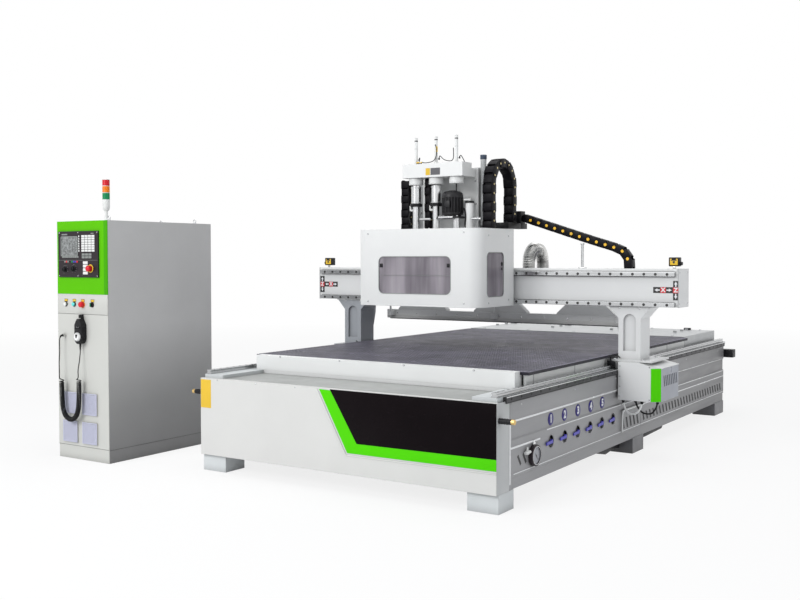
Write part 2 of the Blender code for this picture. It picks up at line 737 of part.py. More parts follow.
def valve_manifold():
    """Suction pipe behind the right panel, with a branch from the beam and a valve body at each hole."""
    wall = SIDE_BEAM_INNER + SIDE_BEAM_LOW_WIDTH + SEAT
    places = valve_places()
    ends = (places[0] - 0.08, places[-1] + 0.08)
    shapes = [rod("Y", (PIPE_X, VALVE_HEIGHT), PIPE_RADIUS, ends, 12)]
    branch = (VALVE_HEIGHT - 0.012, VALVE_HEIGHT + 0.012)
    for y in places:
        centre = (y, VALVE_HEIGHT)
        shapes.append(box((wall, PIPE_X), (y - 0.02, y + 0.02), branch))
        shapes.append(rod("X", centre, VALVE_BODY_RADIUS, (PIPE_X, HALF - 3 * SHEET), 12))
        shapes.append(rod("X", centre, VALVE_STEM_RADIUS, (PIPE_X, HALF - SHEET / 2), 8))
    piece("valve_manifold", shapes, STEEL, MACHINE)


def valve_lever(number, y):
    """Quarter-turn lever; its pivot is the valve's stem, along X."""
    face = HALF - SHEET / 2 + SEAT
    reach = Vector((-math.cos(LEVER_TILT), -math.sin(LEVER_TILT)))
    across = Vector((-reach.y, reach.x)) * LEVER_HALF_WIDTH
    start = Vector((y, VALVE_HEIGHT)) - reach * 0.006
    end = Vector((y, VALVE_HEIGHT)) + reach * LEVER_LENGTH
    outline = [start - across, end - across, end + across, start + across]
    bar = prism("X", [tuple(corner) for corner in outline], (face + 0.006, face + 0.013))
    hub = rod("X", (y, VALVE_HEIGHT), VALVE_STEM_RADIUS + 0.005, (face, face + 0.011), 12)
    piece(f"valve_lever_{number}", [hub, bar], BLUE, MACHINE, pivot=(face, y, VALVE_HEIGHT))


def vacuum_gauge():
    """Dial gauge: a bezel on the panel and a body that reaches through it."""
    body = GAUGE_RADIUS - 0.009
    profile = (
        (0, 0.020),
        (GAUGE_RADIUS - 0.008, 0.020),
        (GAUGE_RADIUS - 0.004, 0.026),
        (GAUGE_RADIUS, 0.022),
        (GAUGE_RADIUS, SEAT),
        (body, SEAT),
        (body, -0.045),
        (0, -0.045),
    )
    turned("vacuum_gauge", profile, STEEL, MACHINE, (HALF, GAUGE_Y, GAUGE_Z), "X")


def table():
    """The plenum, its white front beam and the grooved mat on top of both."""
    low = BED_TOP + SEAT
    slab_rear = SLAB_FRONT + SLAB_DEPTH
    slab_half = HALF - SLAB_INSET
    body = box((-TABLE_HALF, TABLE_HALF), (slab_rear + SEAT, MAT_REAR), (low, MAT_BOTTOM - SEAT))
    piece("vacuum_table", [body], PAINT_GREY, MACHINE)
    slab = [
        (SLAB_FRONT, low),
        (slab_rear, low),
        (slab_rear, MAT_BOTTOM - SEAT),
        (MAT_FRONT - SEAT, MAT_BOTTOM - SEAT),
        (MAT_FRONT - SEAT, MAT_TOP),
        (SLAB_FRONT, MAT_TOP),
    ]
    foot_half = SIDE_BEAM_INNER - SEAT
    foot_depth = (SLAB_FRONT + 0.001, slab_rear - 0.001)
    foot = box((-foot_half, foot_half), foot_depth, (FASCIA_TOP - SHEET / 4 + SEAT, low + 0.01))
    shapes = [prism("X", slab, (-slab_half, slab_half)), foot]
    piece("table_front_beam", shapes, PAINT_WHITE, MACHINE)
    mat = box((-MAT_HALF, MAT_HALF), (MAT_FRONT, MAT_REAR), (MAT_BOTTOM, MAT_TOP))
    piece("table_mat", [mat], MAT_BLUE, MACHINE)


def rear_shelf():
    """Shelf behind the mat, with its rows of low stop pins."""
    shapes = [box((-TABLE_HALF, TABLE_HALF), (MAT_REAR + SEAT, SHELF_END), (BED_TOP + SEAT, SHELF_TOP))]
    for column in range(PIN_COLUMNS):
        for row in PIN_ROWS:
            centre = (PIN_FIRST + PIN_PITCH * column, SHELF_END - row)
            shapes.append(rod("Z", centre, PIN_RADIUS, (SHELF_TOP - 0.01, SHELF_TOP + PIN_HEIGHT), 8))
    piece("rear_shelf", shapes, PAINT_GREY, MACHINE)


def rails_and_racks():
    for name, side in (("right", 1), ("left", -1)):
        rail = box(
            (side * RAIL_INNER, side * RAIL_OUTER),
            (RAIL_FRONT, RAIL_REAR),
            (BED_TOP + SEAT, RAIL_TOP),
        )
        piece(f"y_rail_{name}", [rail], STEEL, MACHINE)
        rack = box(
            (side * RACK_INNER, side * RACK_OUTER),
            (RACK_FRONT, BED_LENGTH),
            (BED_TOP - RACK_HEIGHT, BED_TOP),
        )
        piece(f"y_rack_{name}", [rack], STEEL, MACHINE)


# ---------------------------------------------------------------- gantry


def beam():
    """Hollow box beam with a cable hole, the dust bar's guides and the duct's collector."""
    shapes = [box((-BEAM_HALF, BEAM_HALF), (BEAM_FRONT, BEAM_REAR), (BEAM_BOTTOM, BEAM_TOP))]
    guide = (BEAM_BOTTOM + 0.0516, BEAM_TOP - 0.0445)
    for x in BAR_RODS:
        guide_depth = (BEAM_REAR - 0.01, BAR_ROD_Y + BAR_ROD_RADIUS + 0.010)
        shapes.append(box((x - GUIDE_HALF, x + GUIDE_HALF), guide_depth, guide))
    arm = (DUCT_X + DUCT_RADIUS + 0.01, DUCT_X + DUCT_RADIUS + 0.06)
    arm_height = (COLLECTOR_TOP - 0.025, COLLECTOR_TOP)
    shapes.append(box(arm, (BEAM_REAR - 0.01, DUCT_REAR + DUCT_RADIUS + 0.01), arm_height))
    seat = (DUCT_X - DUCT_RADIUS - 0.01, arm[1])
    seat_depth = (DUCT_REAR - DUCT_RADIUS - 0.009, DUCT_REAR + DUCT_RADIUS + 0.009)
    shapes.append(box(seat, seat_depth, (COLLECTOR_TOP - 0.06, COLLECTOR_TOP - 0.001)))
    inner = box(
        (BEAM_WALL - BEAM_HALF, BEAM_HALF - BEAM_WALL),
        (BEAM_FRONT + BEAM_WALL, BEAM_REAR - BEAM_WALL),
        (BEAM_BOTTOM + BEAM_WALL, BEAM_TOP - BEAM_WALL),
    )
    past = (BEAM_BOTTOM - 0.1, BEAM_TOP + 0.1)
    bores = [rod("Z", (x, BAR_ROD_Y), BAR_ROD_RADIUS + SEAT, past, 12) for x in BAR_RODS]
    made = piece("gantry_beam", shapes, PAINT_GREY, GANTRY, cuts=[inner, *bores])
    hole_x = (BEAM_HALF - 0.25, BEAM_HALF - 0.15)
    hole = box(hole_x, (BEAM_REAR - 0.05, BEAM_REAR + 0.05), (BEAM_BOTTOM + 0.08, BEAM_BOTTOM + 0.13))
    cutter = helper("gantry_beam_cable_hole", [hole], GANTRY, place_of(GANTRY))
    boolean(made, cutter, "DIFFERENCE")


def x_rails():
    for name, z in (("upper", X_RAIL_HIGH), ("lower", X_RAIL_LOW)):
        shape = box(
            (X_RAIL_END - BEAM_HALF, BEAM_HALF - X_RAIL_END),
            (X_RAIL_REAR - X_RAIL_DEPTH, X_RAIL_REAR),
            (z - X_RAIL_SIZE / 2, z + X_RAIL_SIZE / 2),
        )
        piece(f"x_rail_{name}", [shape], STEEL, GANTRY)


def column(name, side):
    """Gantry leg with its flared head, rear gusset, foot plate, rail runners and rack drive."""
    leg_bottom = COLUMN_PLATE_BOTTOM + 0.002
    plate_inside = COLUMN_PLATE_TOP - 0.005
    leg = [
        (COLUMN_INNER, leg_bottom),
        (COLUMN_OUTER, leg_bottom),
        (COLUMN_OUTER, COLUMN_FLARE_START),
        (COLUMN_OUTER + COLUMN_FLARE, BEAM_BOTTOM - SEAT),
        (COLUMN_INNER - COLUMN_FLARE, BEAM_BOTTOM - SEAT),
        (COLUMN_INNER, COLUMN_FLARE_START),
    ]
    rear = BEAM_FRONT + COLUMN_DEPTH
    gusset = [
        (rear - 0.01, plate_inside),
        (rear + 0.04, plate_inside),
        (rear + 0.11, BEAM_BOTTOM - 0.12),
        (rear + 0.12, BEAM_BOTTOM - SEAT),
        (rear - 0.01, BEAM_BOTTOM - SEAT),
    ]
    runner = (side * (RAIL_INNER - RUNNER_WALL), side * (RAIL_OUTER + RUNNER_WALL))
    plate = (runner[0], side * (COLUMN_OUTER + COLUMN_PLATE_REACH))
    plate_y = (BEAM_FRONT - COLUMN_PLATE_LAP[0], BEAM_FRONT + COLUMN_PLATE_LAP[1])
    gusset_span = sorted((side * (COLUMN_MIDDLE - 0.025), side * (COLUMN_MIDDLE + 0.025)))
    drive = (side * DRIVE_X[0], side * DRIVE_X[1])
    shapes = [
        prism("Y", mirrored(leg, side), (BEAM_FRONT, rear)),
        box(plate, plate_y, (COLUMN_PLATE_BOTTOM, COLUMN_PLATE_TOP)),
        prism("X", gusset, gusset_span),
    ]
    for start in (plate_y[0] + 0.01, plate_y[1] - RUNNER_LENGTH - 0.01):
        shapes.append(box(runner, (start, start + RUNNER_LENGTH), (BED_TOP + 0.005, plate_inside)))
    shapes.append(box(drive, DRIVE_Y, (MOTOR_COVER_BOTTOM + 0.04, plate_inside)))
    channel_width = (side * (RAIL_INNER - SEAT), side * (RAIL_OUTER + SEAT))
    channel = box(channel_width, (BEAM_FRONT - 0.2, BEAM_FRONT + 0.5), (BED_TOP - 0.05, RAIL_TOP + SEAT))
    recess_y = (BEAM_FRONT - 0.05, BEAM_FRONT + ARCH_DEPTH)
    recess_x = (side * (COLUMN_MIDDLE - ARCH_HALF), side * (COLUMN_MIDDLE + ARCH_HALF))
    recess = box(recess_x, recess_y, (COLUMN_PLATE_TOP + ARCH_LOW, COLUMN_PLATE_TOP + ARCH_HIGH))
    made = piece(name, shapes, PAINT_WHITE, GANTRY, cuts=[channel, recess])
    crown = rod("Y", (side * COLUMN_MIDDLE, COLUMN_PLATE_TOP + ARCH_HIGH), ARCH_HALF, recess_y, 16)
    boolean(made, helper(f"{name}_arch_crown", [crown], GANTRY, place_of(GANTRY)), "DIFFERENCE")


def motor_cover(name, side):
    """Hollow cover of the rack drive, open towards the bed and under the foot plate."""
    inner = MOTOR_COVER_INNER
    chamfer = (MOTOR_COVER_OUTER - MOTOR_COVER_CHAMFER[0], MOTOR_COVER_FRONT + MOTOR_COVER_CHAMFER[1])
    outer = [
        (inner, MOTOR_COVER_FRONT),
        (chamfer[0], MOTOR_COVER_FRONT),
        (MOTOR_COVER_OUTER, chamfer[1]),
        (MOTOR_COVER_OUTER, MOTOR_COVER_REAR),
        (inner, MOTOR_COVER_REAR),
    ]
    hollow = [
        (inner - 0.02, MOTOR_COVER_FRONT + SHEET),
        (chamfer[0] - SHEET / 2, MOTOR_COVER_FRONT + SHEET),
        (MOTOR_COVER_OUTER - SHEET, chamfer[1] + SHEET / 2),
        (MOTOR_COVER_OUTER - SHEET, MOTOR_COVER_REAR - SHEET),
        (inner - 0.02, MOTOR_COVER_REAR - SHEET),
    ]
    roof = MOTOR_COVER_EDGE - SHEET
    above = MOTOR_COVER_TOP + 0.05
    fall = (MOTOR_COVER_TOP - MOTOR_COVER_EDGE) / (MOTOR_COVER_OUTER - COLUMN_OUTER)
    slope = [
        (COLUMN_OUTER, MOTOR_COVER_TOP + 0.0001),
        (MOTOR_COVER_OUTER + 0.05, MOTOR_COVER_EDGE - fall * 0.05),
        (MOTOR_COVER_OUTER + 0.05, above),
        (COLUMN_OUTER, above),
    ]
    hole_x = (side * (DRIVE_X[0] - 0.005), side * (DRIVE_X[1] + 0.005))
    hole = box(hole_x, (DRIVE_Y[0] - 0.005, DRIVE_Y[1] + 0.005), (roof - 0.01, above))
    shape = prism("Z", mirrored(outer, side), (MOTOR_COVER_BOTTOM, MOTOR_COVER_TOP))
    inside = prism("Z", mirrored(hollow, side), (MOTOR_COVER_BOTTOM + SHEET, roof))
    made = piece(name, [shape], PAINT_WHITE, GANTRY, cuts=[inside])
    past = (MOTOR_COVER_FRONT - 0.2, MOTOR_COVER_REAR + 0.2)
    for number, cut in enumerate((hole, prism("Y", mirrored(slope, side), past)), 1):
        boolean(made, helper(f"{name}_top_{number}", [cut], GANTRY, place_of(GANTRY)), "DIFFERENCE")


def suction_bar():
    """Pusher and dust bar behind the beam; it moves down on three rods."""
    rear = BAR_FRONT + BAR_DEPTH
    brush = (BAR_MIDDLE - SHEET, BAR_MIDDLE + SHEET)
    header = (-FUNNEL_PITCH - 0.06, FUNNEL_PITCH + 0.06)
    shapes = [
        box((-BAR_HALF, BAR_HALF), (BAR_FRONT, rear), (BAR_BOTTOM, BAR_TOP)),
        box((0.01 - BAR_HALF, BAR_HALF - 0.01), brush, (BAR_BOTTOM - BRUSH_HEIGHT, BAR_BOTTOM + 0.01)),
        rod("X", (BAR_MIDDLE, HEADER_Z), HEADER_RADIUS, header, 12),
    ]
    for x in (-FUNNEL_PITCH, 0, FUNNEL_PITCH):
        funnel = [
            (x - FUNNEL_HALF, BAR_TOP - 0.005),
            (x + FUNNEL_HALF, BAR_TOP - 0.005),
            (x + FUNNEL_HALF, BAR_TOP + 0.01),
            (x + FUNNEL_NECK_HALF, FUNNEL_TOP),
            (x - FUNNEL_NECK_HALF, FUNNEL_TOP),
            (x - FUNNEL_HALF, BAR_TOP + 0.01),
        ]
        shapes.append(prism("Y", funnel, (BAR_FRONT + 0.005, rear - 0.005)))
    lug = (BAR_ROD_Y - 0.015, BAR_FRONT + 0.01)
    for x in BAR_RODS:
        shapes.append(box((x - 0.02, x + 0.02), lug, (BAR_BOTTOM + 0.01, BAR_TOP - 0.01)))
        rod_height = (BAR_BOTTOM + 0.02, BAR_TOP + BAR_ROD_HEIGHT)
        shapes.append(rod("Z", (x, BAR_ROD_Y), BAR_ROD_RADIUS, rod_height, 12))
    piece("suction_bar", shapes, PAINT_WHITE, BAR)


def duct_hose():
    """Flexible duct: up from the moving header, over an arch and down into the collector."""
    radius = DUCT_SPAN / 2
    points = [(DUCT_X, BAR_MIDDLE, HEADER_Z + HEADER_RADIUS + SEAT)]
    for number in range(11):
        turn = math.pi * number / 10
        y = BAR_MIDDLE + radius - radius * math.cos(turn)
        points.append((DUCT_X, y, DUCT_ARCH_Z + radius * math.sin(turn)))
    points.append((DUCT_X, DUCT_REAR, COLLECTOR_TOP + SEAT))
    tube("duct_hose", points, DUCT_RADIUS, ALUMINIUM, GANTRY)


def band(points, thickness):
    """Outline of a belt of even thickness that follows a line of points, drawn from its inner side."""
    inner = [Vector(point) for point in points]
    outer = []
    for number, point in enumerate(inner):
        before = inner[max(number - 1, 0)]
        after = inner[min(number + 1, len(inner) - 1)]
        along = (after - before).normalized()
        outer.append(point + Vector((-along.y, along.x)) * thickness)
    return [tuple(point) for point in inner + outer[::-1]]


def x_cable_chain():
    """Cable chain from the beam's top, round a bend, up to the head's arm."""
    bend = BEAM_TOP + 0.0455
    slope_foot = bend + 0.070
    slope_end = CARRIAGE_ARM_TOP + 0.012
    rise = slope_end - slope_foot
    line = [
        (1.075, BEAM_TOP + SEAT),
        (1.075, bend),
        (1.068, bend + 0.026),
        (1.048, bend + 0.050),
        (1.010, slope_foot),
        (0.80, slope_foot + 0.276 * rise),
        (0.55, slope_foot + 0.621 * rise),
        (0.36, slope_foot + 0.884 * rise),
        (ARM_END + 0.001, slope_end),
    ]
    shape = prism("Y", band(line, -0.062), (BEAM_FRONT + 0.1423, BEAM_FRONT + 0.2123))
    piece("x_cable_chain", [shape], BLACK, GANTRY)


def x_carriage():
    """Carriage plate with its four runners, the Z rails, the balance post and the chain arm."""
    plate = (CARRIAGE_LEFT, CARRIAGE_RIGHT)
    shapes = [box(plate, (CARRIAGE_FRONT, CARRIAGE_REAR), (CARRIAGE_BOTTOM, CARRIAGE_TOP))]
    half_width, half_height = CARRIAGE_RUNNER
    for x in (CARRIAGE_LEFT + 0.09, CARRIAGE_RIGHT - 0.09):
        for z in (X_RAIL_LOW, X_RAIL_HIGH):
            width = (x - half_width, x + half_width)
            depth = (CARRIAGE_REAR - 0.005, BEAM_FRONT - 0.004)
            shapes.append(box(width, depth, (z - half_height, z + half_height)))
    rail_height = (CARRIAGE_BOTTOM + 0.040, CARRIAGE_TOP - 0.090)
    for x in Z_RAILS:
        width = (x - Z_RAIL_WIDTH / 2, x + Z_RAIL_WIDTH / 2)
        shapes.append(box(width, (Z_RAIL_FRONT, CARRIAGE_FRONT + 0.005), rail_height))
    post_x = CARRIAGE_RIGHT - 0.030
    post_y = CARRIAGE_FRONT - POST_RADIUS - 0.005
    post_foot = SPINDLE_TOP + 0.040
    shapes.append(rod("Z", (post_x, post_y), POST_RADIUS, (post_foot, CARRIAGE_TOP + 0.076), 16))
    lug = (post_x - POST_RADIUS - 0.004, post_x + POST_RADIUS + 0.004)
    shapes.append(box(lug, (CARRIAGE_FRONT - 0.030, CARRIAGE_FRONT + 0.01), (post_foot, post_foot + 0.040)))
    arm_depth = (CARRIAGE_FRONT + 0.002, BEAM_FRONT + 0.24)
    arm_height = (CARRIAGE_ARM_TOP - 0.04, CARRIAGE_ARM_TOP)
    shapes.append(box((CARRIAGE_RIGHT - 0.02, ARM_END), arm_depth, arm_height))
    riser_depth = (BEAM_FRONT + 0.14, BEAM_FRONT + 0.21)
    riser_height = (CARRIAGE_ARM_TOP - 0.01, CARRIAGE_ARM_TOP + 0.09)
    shapes.append(box((ARM_END - 0.040, ARM_END - 0.001), riser_depth, riser_height))
    groove_depth = (X_RAIL_REAR - X_RAIL_DEPTH - SEAT, BEAM_FRONT + 0.05)
    groove_half = X_RAIL_SIZE / 2 + SEAT
    grooves = [
        box((-BEAM_HALF, BEAM_HALF), groove_depth, (z - groove_half, z + groove_half))
        for z in (X_RAIL_LOW, X_RAIL_HIGH)
    ]
    piece("x_carriage", shapes, PAINT_GREY, HEAD, cuts=grooves)


def hood_path(inset):
    """Plan of the hood's wall from its left rear edge round the front to its right rear edge."""
    left = HOOD_LEFT + inset
    right = HOOD_RIGHT - inset
    front = HOOD_FRONT + inset
    radius = HOOD_CORNER - inset
    path = [(left, HOOD_REAR)]
    for number in range(7):
        turn = math.pi + math.pi / 2 * number / 6
        path.append((left + radius + radius * math.cos(turn), front + radius + radius * math.sin(turn)))
    for number in range(7):
        turn = 1.5 * math.pi + math.pi / 2 * number / 6
        path.append((right - radius + radius * math.cos(turn), front + radius + radius * math.sin(turn)))
    return path + [(right, HOOD_REAR)]


def hood():
    """Spray and chip hood: a wrapped sheet, open above and below, with rear flanges on the carriage."""
    wall = prism("Z", hood_path(0) + hood_path(SHEET)[::-1], (HOOD_BOTTOM, HOOD_TOP))
    flange_y = (CARRIAGE_FRONT - SEAT - SHEET * 2, CARRIAGE_FRONT - SEAT)
    height = (HOOD_BOTTOM + 0.001, HOOD_TOP - 0.001)
    left = box((HOOD_LEFT + 0.001, CARRIAGE_LEFT + 0.018), flange_y, height)
    right = box((CARRIAGE_RIGHT - 0.005, HOOD_RIGHT - 0.001), flange_y, height)
    front_window = box(WINDOW_X, (HOOD_FRONT - 0.05, HOOD_FRONT + 0.05), WINDOW_Z)
    side_window = box((HOOD_LEFT - 0.05, HOOD_RIGHT + 0.05), SIDE_WINDOW_Y, SIDE_WINDOW_Z)
    piece("hood", [wall, left, right], PAINT_WHITE, HEAD, cuts=[front_window, side_window])


def hood_window():
    """One bent smoked sheet behind the hood's three windows."""
    lap = 0.02
    rear = SIDE_WINDOW_Y[1] + 1.5 * lap
    outer = [(x, min(y, rear)) for x, y in hood_path(SHEET + SEAT)]
    inner = [(x, min(y, rear)) for x, y in hood_path(SHEET + SEAT + WINDOW_SHEET)]
    height = (SIDE_WINDOW_Z[0] - lap, SIDE_WINDOW_Z[1] + lap)
    piece("hood_window", [prism("Z", outer + inner[::-1], height)], SMOKED, HEAD)


def z_slide():
    """Z plate with its runners, the bridge box, three air cylinders and the moving chain arm."""
    bridge_rear = BRIDGE_FRONT + BRIDGE_DEPTH
    plate_top = BRIDGE_HIGH - 0.03
    neck_x = (Z_PLATE_X[0] + 0.03, Z_PLATE_X[1] - 0.02)
    neck_y = (bridge_rear - 0.005, Z_PLATE_FRONT + 0.005)
    shapes = [
        box(Z_PLATE_X, (Z_PLATE_FRONT, Z_PLATE_REAR), (Z_PLATE_BOTTOM, plate_top)),
        box(BRIDGE_X, (BRIDGE_FRONT, bridge_rear), (BRIDGE_LOW, BRIDGE_HIGH)),
        box(neck_x, neck_y, (BRIDGE_LOW + 0.005, plate_top - 0.005)),
    ]
    for x in SPINDLES:
        axis = (x, SPINDLE_Y)
        shapes.append(rod("Z", axis, COLLAR_RADIUS, (BRIDGE_LOW - COLLAR_HEIGHT, BRIDGE_LOW + 0.01), 16))
        shapes.append(rod("Z", axis, AIR_CYLINDER_RADIUS, (BRIDGE_HIGH - 0.01, AIR_CYLINDER_TOP), 10))
    runner_depth = (Z_PLATE_REAR - 0.002, CARRIAGE_FRONT - 0.004)
    for x in Z_RAILS:
        runner = (x - Z_RAIL_WIDTH / 2 - 0.010, x + Z_RAIL_WIDTH / 2 + 0.010)
        for z in (Z_PLATE_BOTTOM + 0.02, Z_PLATE_BOTTOM + 0.50):
            shapes.append(box(runner, runner_depth, (z, z + Z_RUNNER_HEIGHT)))
    shapes += z_chain_arm()
    bore_height = (BRIDGE_LOW - COLLAR_HEIGHT - 0.1, AIR_CYLINDER_TOP - 0.05)
    bores = [rod("Z", (x, SPINDLE_Y), ROD_RADIUS + SEAT, bore_height, 10) for x in SPINDLES]
    groove_depth = (Z_RAIL_FRONT - SEAT, CARRIAGE_FRONT + 0.05)
    groove_half = Z_RAIL_WIDTH / 2 + SEAT
    past = (Z_PLATE_BOTTOM, plate_top)
    grooves = [box((x - groove_half, x + groove_half), groove_depth, past) for x in Z_RAILS]
    piece("z_slide", shapes, PAINT_WHITE, Z_GROUP, cuts=[*bores, *grooves])


def z_chain_arm():
    """Bracket and arm that carry the Z chain's front end, with the air reservoir on them."""
    low, top = Z_ARM_TOP - CHAIN_ARM_DEPTH, Z_ARM_TOP
    bracket_x = (Z_RAILS[1], Z_RAILS[1] + 0.090)
    front, rear = CHAIN_REACH[0] - 0.025, CHAIN_REACH[0] + 0.110
    reservoir = (Z_RAILS[1] + 0.078, SPINDLE_Y + 0.025)
    return [
        box(bracket_x, (rear - 0.010, Z_PLATE_FRONT + 0.004), (low + 0.001, top - 0.001)),
        box((Z_RAILS[1] + 0.045, CHAIN_X + CHAIN_WIDTH), (front, rear), (low, top)),
        rod("Z", reservoir, RESERVOIR_RADIUS, (top - 0.01, top + 0.210), 16),
    ]


def spindle_motor(group):
    """Finned motor on its plate above the third spindle, lifted by the third rod."""
    profile = []
    for number in range(MOTOR_FINS * 2):
        turn = math.tau * number / (MOTOR_FINS * 2)
        radius = MOTOR_RADIUS if number % 2 else MOTOR_RADIUS - 0.009
        profile.append((MOTOR_X + radius * math.cos(turn), MOTOR_Y + radius * math.sin(turn)))
    centre = (MOTOR_X, MOTOR_Y)
    foot = MOTOR_FOOT + 0.0247
    top = foot + MOTOR_HEIGHT
    plate_x = (MOTOR_X - 0.082, MOTOR_X + 0.090)
    shapes = [
        prism("Z", profile, (foot, top)),
        box(plate_x, (MOTOR_Y - 0.080, MOTOR_Y + 0.080), (MOTOR_FOOT, MOTOR_FOOT + 0.0117)),
        rod("Z", centre, MOTOR_RADIUS - 0.013, (MOTOR_FOOT + 0.0077, foot + 0.005), 16),
        rod("Z", centre, MOTOR_RADIUS - 0.015, (top - 0.005, top + 0.020), 16),
        rod("Z", (SPINDLES[2], SPINDLE_Y), ROD_RADIUS, (top + 0.010, ROD_TOP), 10),
    ]
    piece("spindle_motor", shapes, BLACK, group)


def lifted_top():
    """Lifting rod, sleeve, clamp ring and tube above a spindle, as a profile from the top down."""
    sleeve_top = BRIDGE_LOW - COLLAR_HEIGHT - 0.010
    ring = SPINDLE_TOP + 0.185
    return (
        (0, ROD_TOP),
        (ROD_RADIUS, ROD_TOP),
        (ROD_RADIUS, sleeve_top),
        (SLEEVE_RADIUS, sleeve_top),
        (SLEEVE_RADIUS, ring + 0.017),
        (CLAMP_RADIUS, ring + 0.015),
        (CLAMP_RADIUS, ring),
        (SPINDLE_NECK_RADIUS, ring - 0.002),
    )


def neck_top():
    """Plain neck of the spindle that carries the motor, up to the motor's plate."""
    top = MOTOR_FOOT - SEAT
    return ((0, top), (SPINDLE_NECK_RADIUS, top))


def spindle(number, x, group, upper):
    """Spindle with its upper part, carried by a runner block on the Z plate."""
    nose = SPINDLE_TOP - SPINDLE_LENGTH
    lower = (
        (SPINDLE_NECK_RADIUS, SPINDLE_TOP),
        (SPINDLE_RADIUS, SPINDLE_TOP - 0.008),
        (SPINDLE_RADIUS, nose + 0.060),
        (0.030, nose + 0.035),
        (0.030, nose),
        (0, nose),
    )
    level = place_of(group).z
    profile = [(radius, height - level) for radius, height in (*upper, *lower)]
    made = turned(f"spindle_{number}", profile, STEEL, group, (x, SPINDLE_Y, level), steps=16)
    half = SPINDLE_RADIUS - 0.009
    runner_depth = (SPINDLE_Y + 0.03, Z_PLATE_FRONT - SEAT)
    runner = box((x - half, x + half), runner_depth, (SPINDLE_TOP - 0.20, SPINDLE_TOP - 0.04))
    boolean(made, helper(f"spindle_{number}_runner", [runner], group, place_of(group)), "UNION")


def collet(number, x, group):
    """Collet nut with its cutter; it turns about the spindle's axis."""
    nut = -COLLET_LENGTH
    profile = (
        (0, 0),
        (COLLET_BODY_RADIUS, 0),
        (COLLET_BODY_RADIUS, nut + 0.012),
        (COLLET_BODY_RADIUS - 0.006, nut + 0.002),
        (CUTTER_RADIUS, nut),
        (CUTTER_RADIUS, nut - CUTTER_LENGTH + 0.005),
        (0, nut - CUTTER_LENGTH),
    )
    turned(f"collet_{number}", profile, STEEL, group, (x, SPINDLE_Y, COLLET_TOP), steps=12)


def z_cable_chain():
    """Cable chain that stands as an arch: the front end moves with the slide, the rear end stays."""
    front = CHAIN_REACH[0] + CHAIN_THICKNESS
    rear = CHAIN_REACH[1] - CHAIN_THICKNESS
    bend = Z_ARM_TOP + CHAIN_RISE
    reach = (rear - front) / 2
    middle = (rear + front) / 2
    line = [(front, Z_ARM_TOP + SEAT), (front, bend)]
    for number in range(1, 8):
        turn = math.pi - math.pi * number / 8
        line.append((middle + reach * math.cos(turn), bend + reach * math.sin(turn)))
    line += [(rear, bend), (rear, CARRIAGE_ARM_TOP + SEAT)]
    shape = prism("X", band(line, CHAIN_THICKNESS), (CHAIN_X, CHAIN_X + CHAIN_WIDTH))
    piece("z_cable_chain", [shape], BLACK, HEAD)


# ---------------------------------------------------------------- cabinet


def cabinet_shell():
    """Sheet carcass, open at the left for the door and at the front behind the panels."""
    outer = box((SHELL_LEFT, CABINET_RIGHT), (SHELL_FRONT, CABINET_REAR), (0, CABINET_TOP))
    inner = box(
        (SHELL_LEFT + SHEET, CABINET_RIGHT - SHEET),
        (SHELL_FRONT + SHEET, CABINET_REAR - SHEET),
        (CABINET_FLOOR, CABINET_TOP - SHEET),
    )
    made = piece("cabinet_shell", [outer], CABINET_PAINT, MACHINE, cuts=[inner])
    sill = PLINTH_TOP + 0.03
    past_left = (SHELL_LEFT - 0.05, SHELL_LEFT + 0.05)
    door_hole = box(past_left, (SHELL_FRONT + 0.045, CABINET_REAR - 0.04), (sill, CABINET_TOP - 0.08))
    past_front = (SHELL_FRONT - 0.05, SHELL_FRONT + 0.03)
    front_hole = box((SHELL_LEFT + 0.03, CABINET_RIGHT - 0.03), past_front, (sill, CABINET_TOP - 0.03))
    for number, cut in enumerate((door_hole, front_hole), 1):
        boolean(made, helper(f"cabinet_shell_hole_{number}", [cut], MACHINE, (0, 0, 0)), "DIFFERENCE")


def cabinet_door():
    """Side door on three knuckles; its pivot is the hinge's axis at the rear edge."""
    leaf = box(
        (CABINET_LEFT, CABINET_LEFT + SHEET),
        (SHELL_FRONT + 0.002, CABINET_REAR - 0.002),
        (PLINTH_TOP, CABINET_TOP - 0.05),
    )
    shapes = [leaf]
    for z in HINGE_PLACES:
        shapes.append(rod("Z", (HINGE_X, HINGE_Y), HINGE_RADIUS, (z, z + HINGE_LENGTH), 10))
    past = (CABINET_LEFT - 0.05, CABINET_LEFT + 0.05)
    shaft = rod("X", (HANDLE_Y, HANDLE_Z), HANDLE_SHAFT_RADIUS + SEAT, past, 12)
    piece("cabinet_door", shapes, CABINET_PAINT, DOOR, cuts=[shaft])


def door_handle():
    """Quarter-turn handle; its shaft runs through the door and ends in a short cam."""
    face = CABINET_LEFT - SEAT
    centre = (HANDLE_Y, HANDLE_Z)
    grip_z = (HANDLE_Z - HANDLE_LENGTH, HANDLE_Z + 0.012)
    cam_y = (HANDLE_Y - 0.008, HANDLE_Y + 0.022)
    shapes = [
        rod("X", centre, 0.014, (face - 0.016, face), 12),
        rod("X", centre, HANDLE_SHAFT_RADIUS, (face - 0.01, face + 0.022), 12),
        box((face - 0.024, face - 0.014), (HANDLE_Y - 0.010, HANDLE_Y + 0.010), grip_z),
        box((face + 0.012, face + 0.018), cam_y, (HANDLE_Z - 0.008, HANDLE_Z + 0.008)),
    ]
    piece("door_handle", shapes, BLACK, DOOR, pivot=(face, HANDLE_Y, HANDLE_Z))


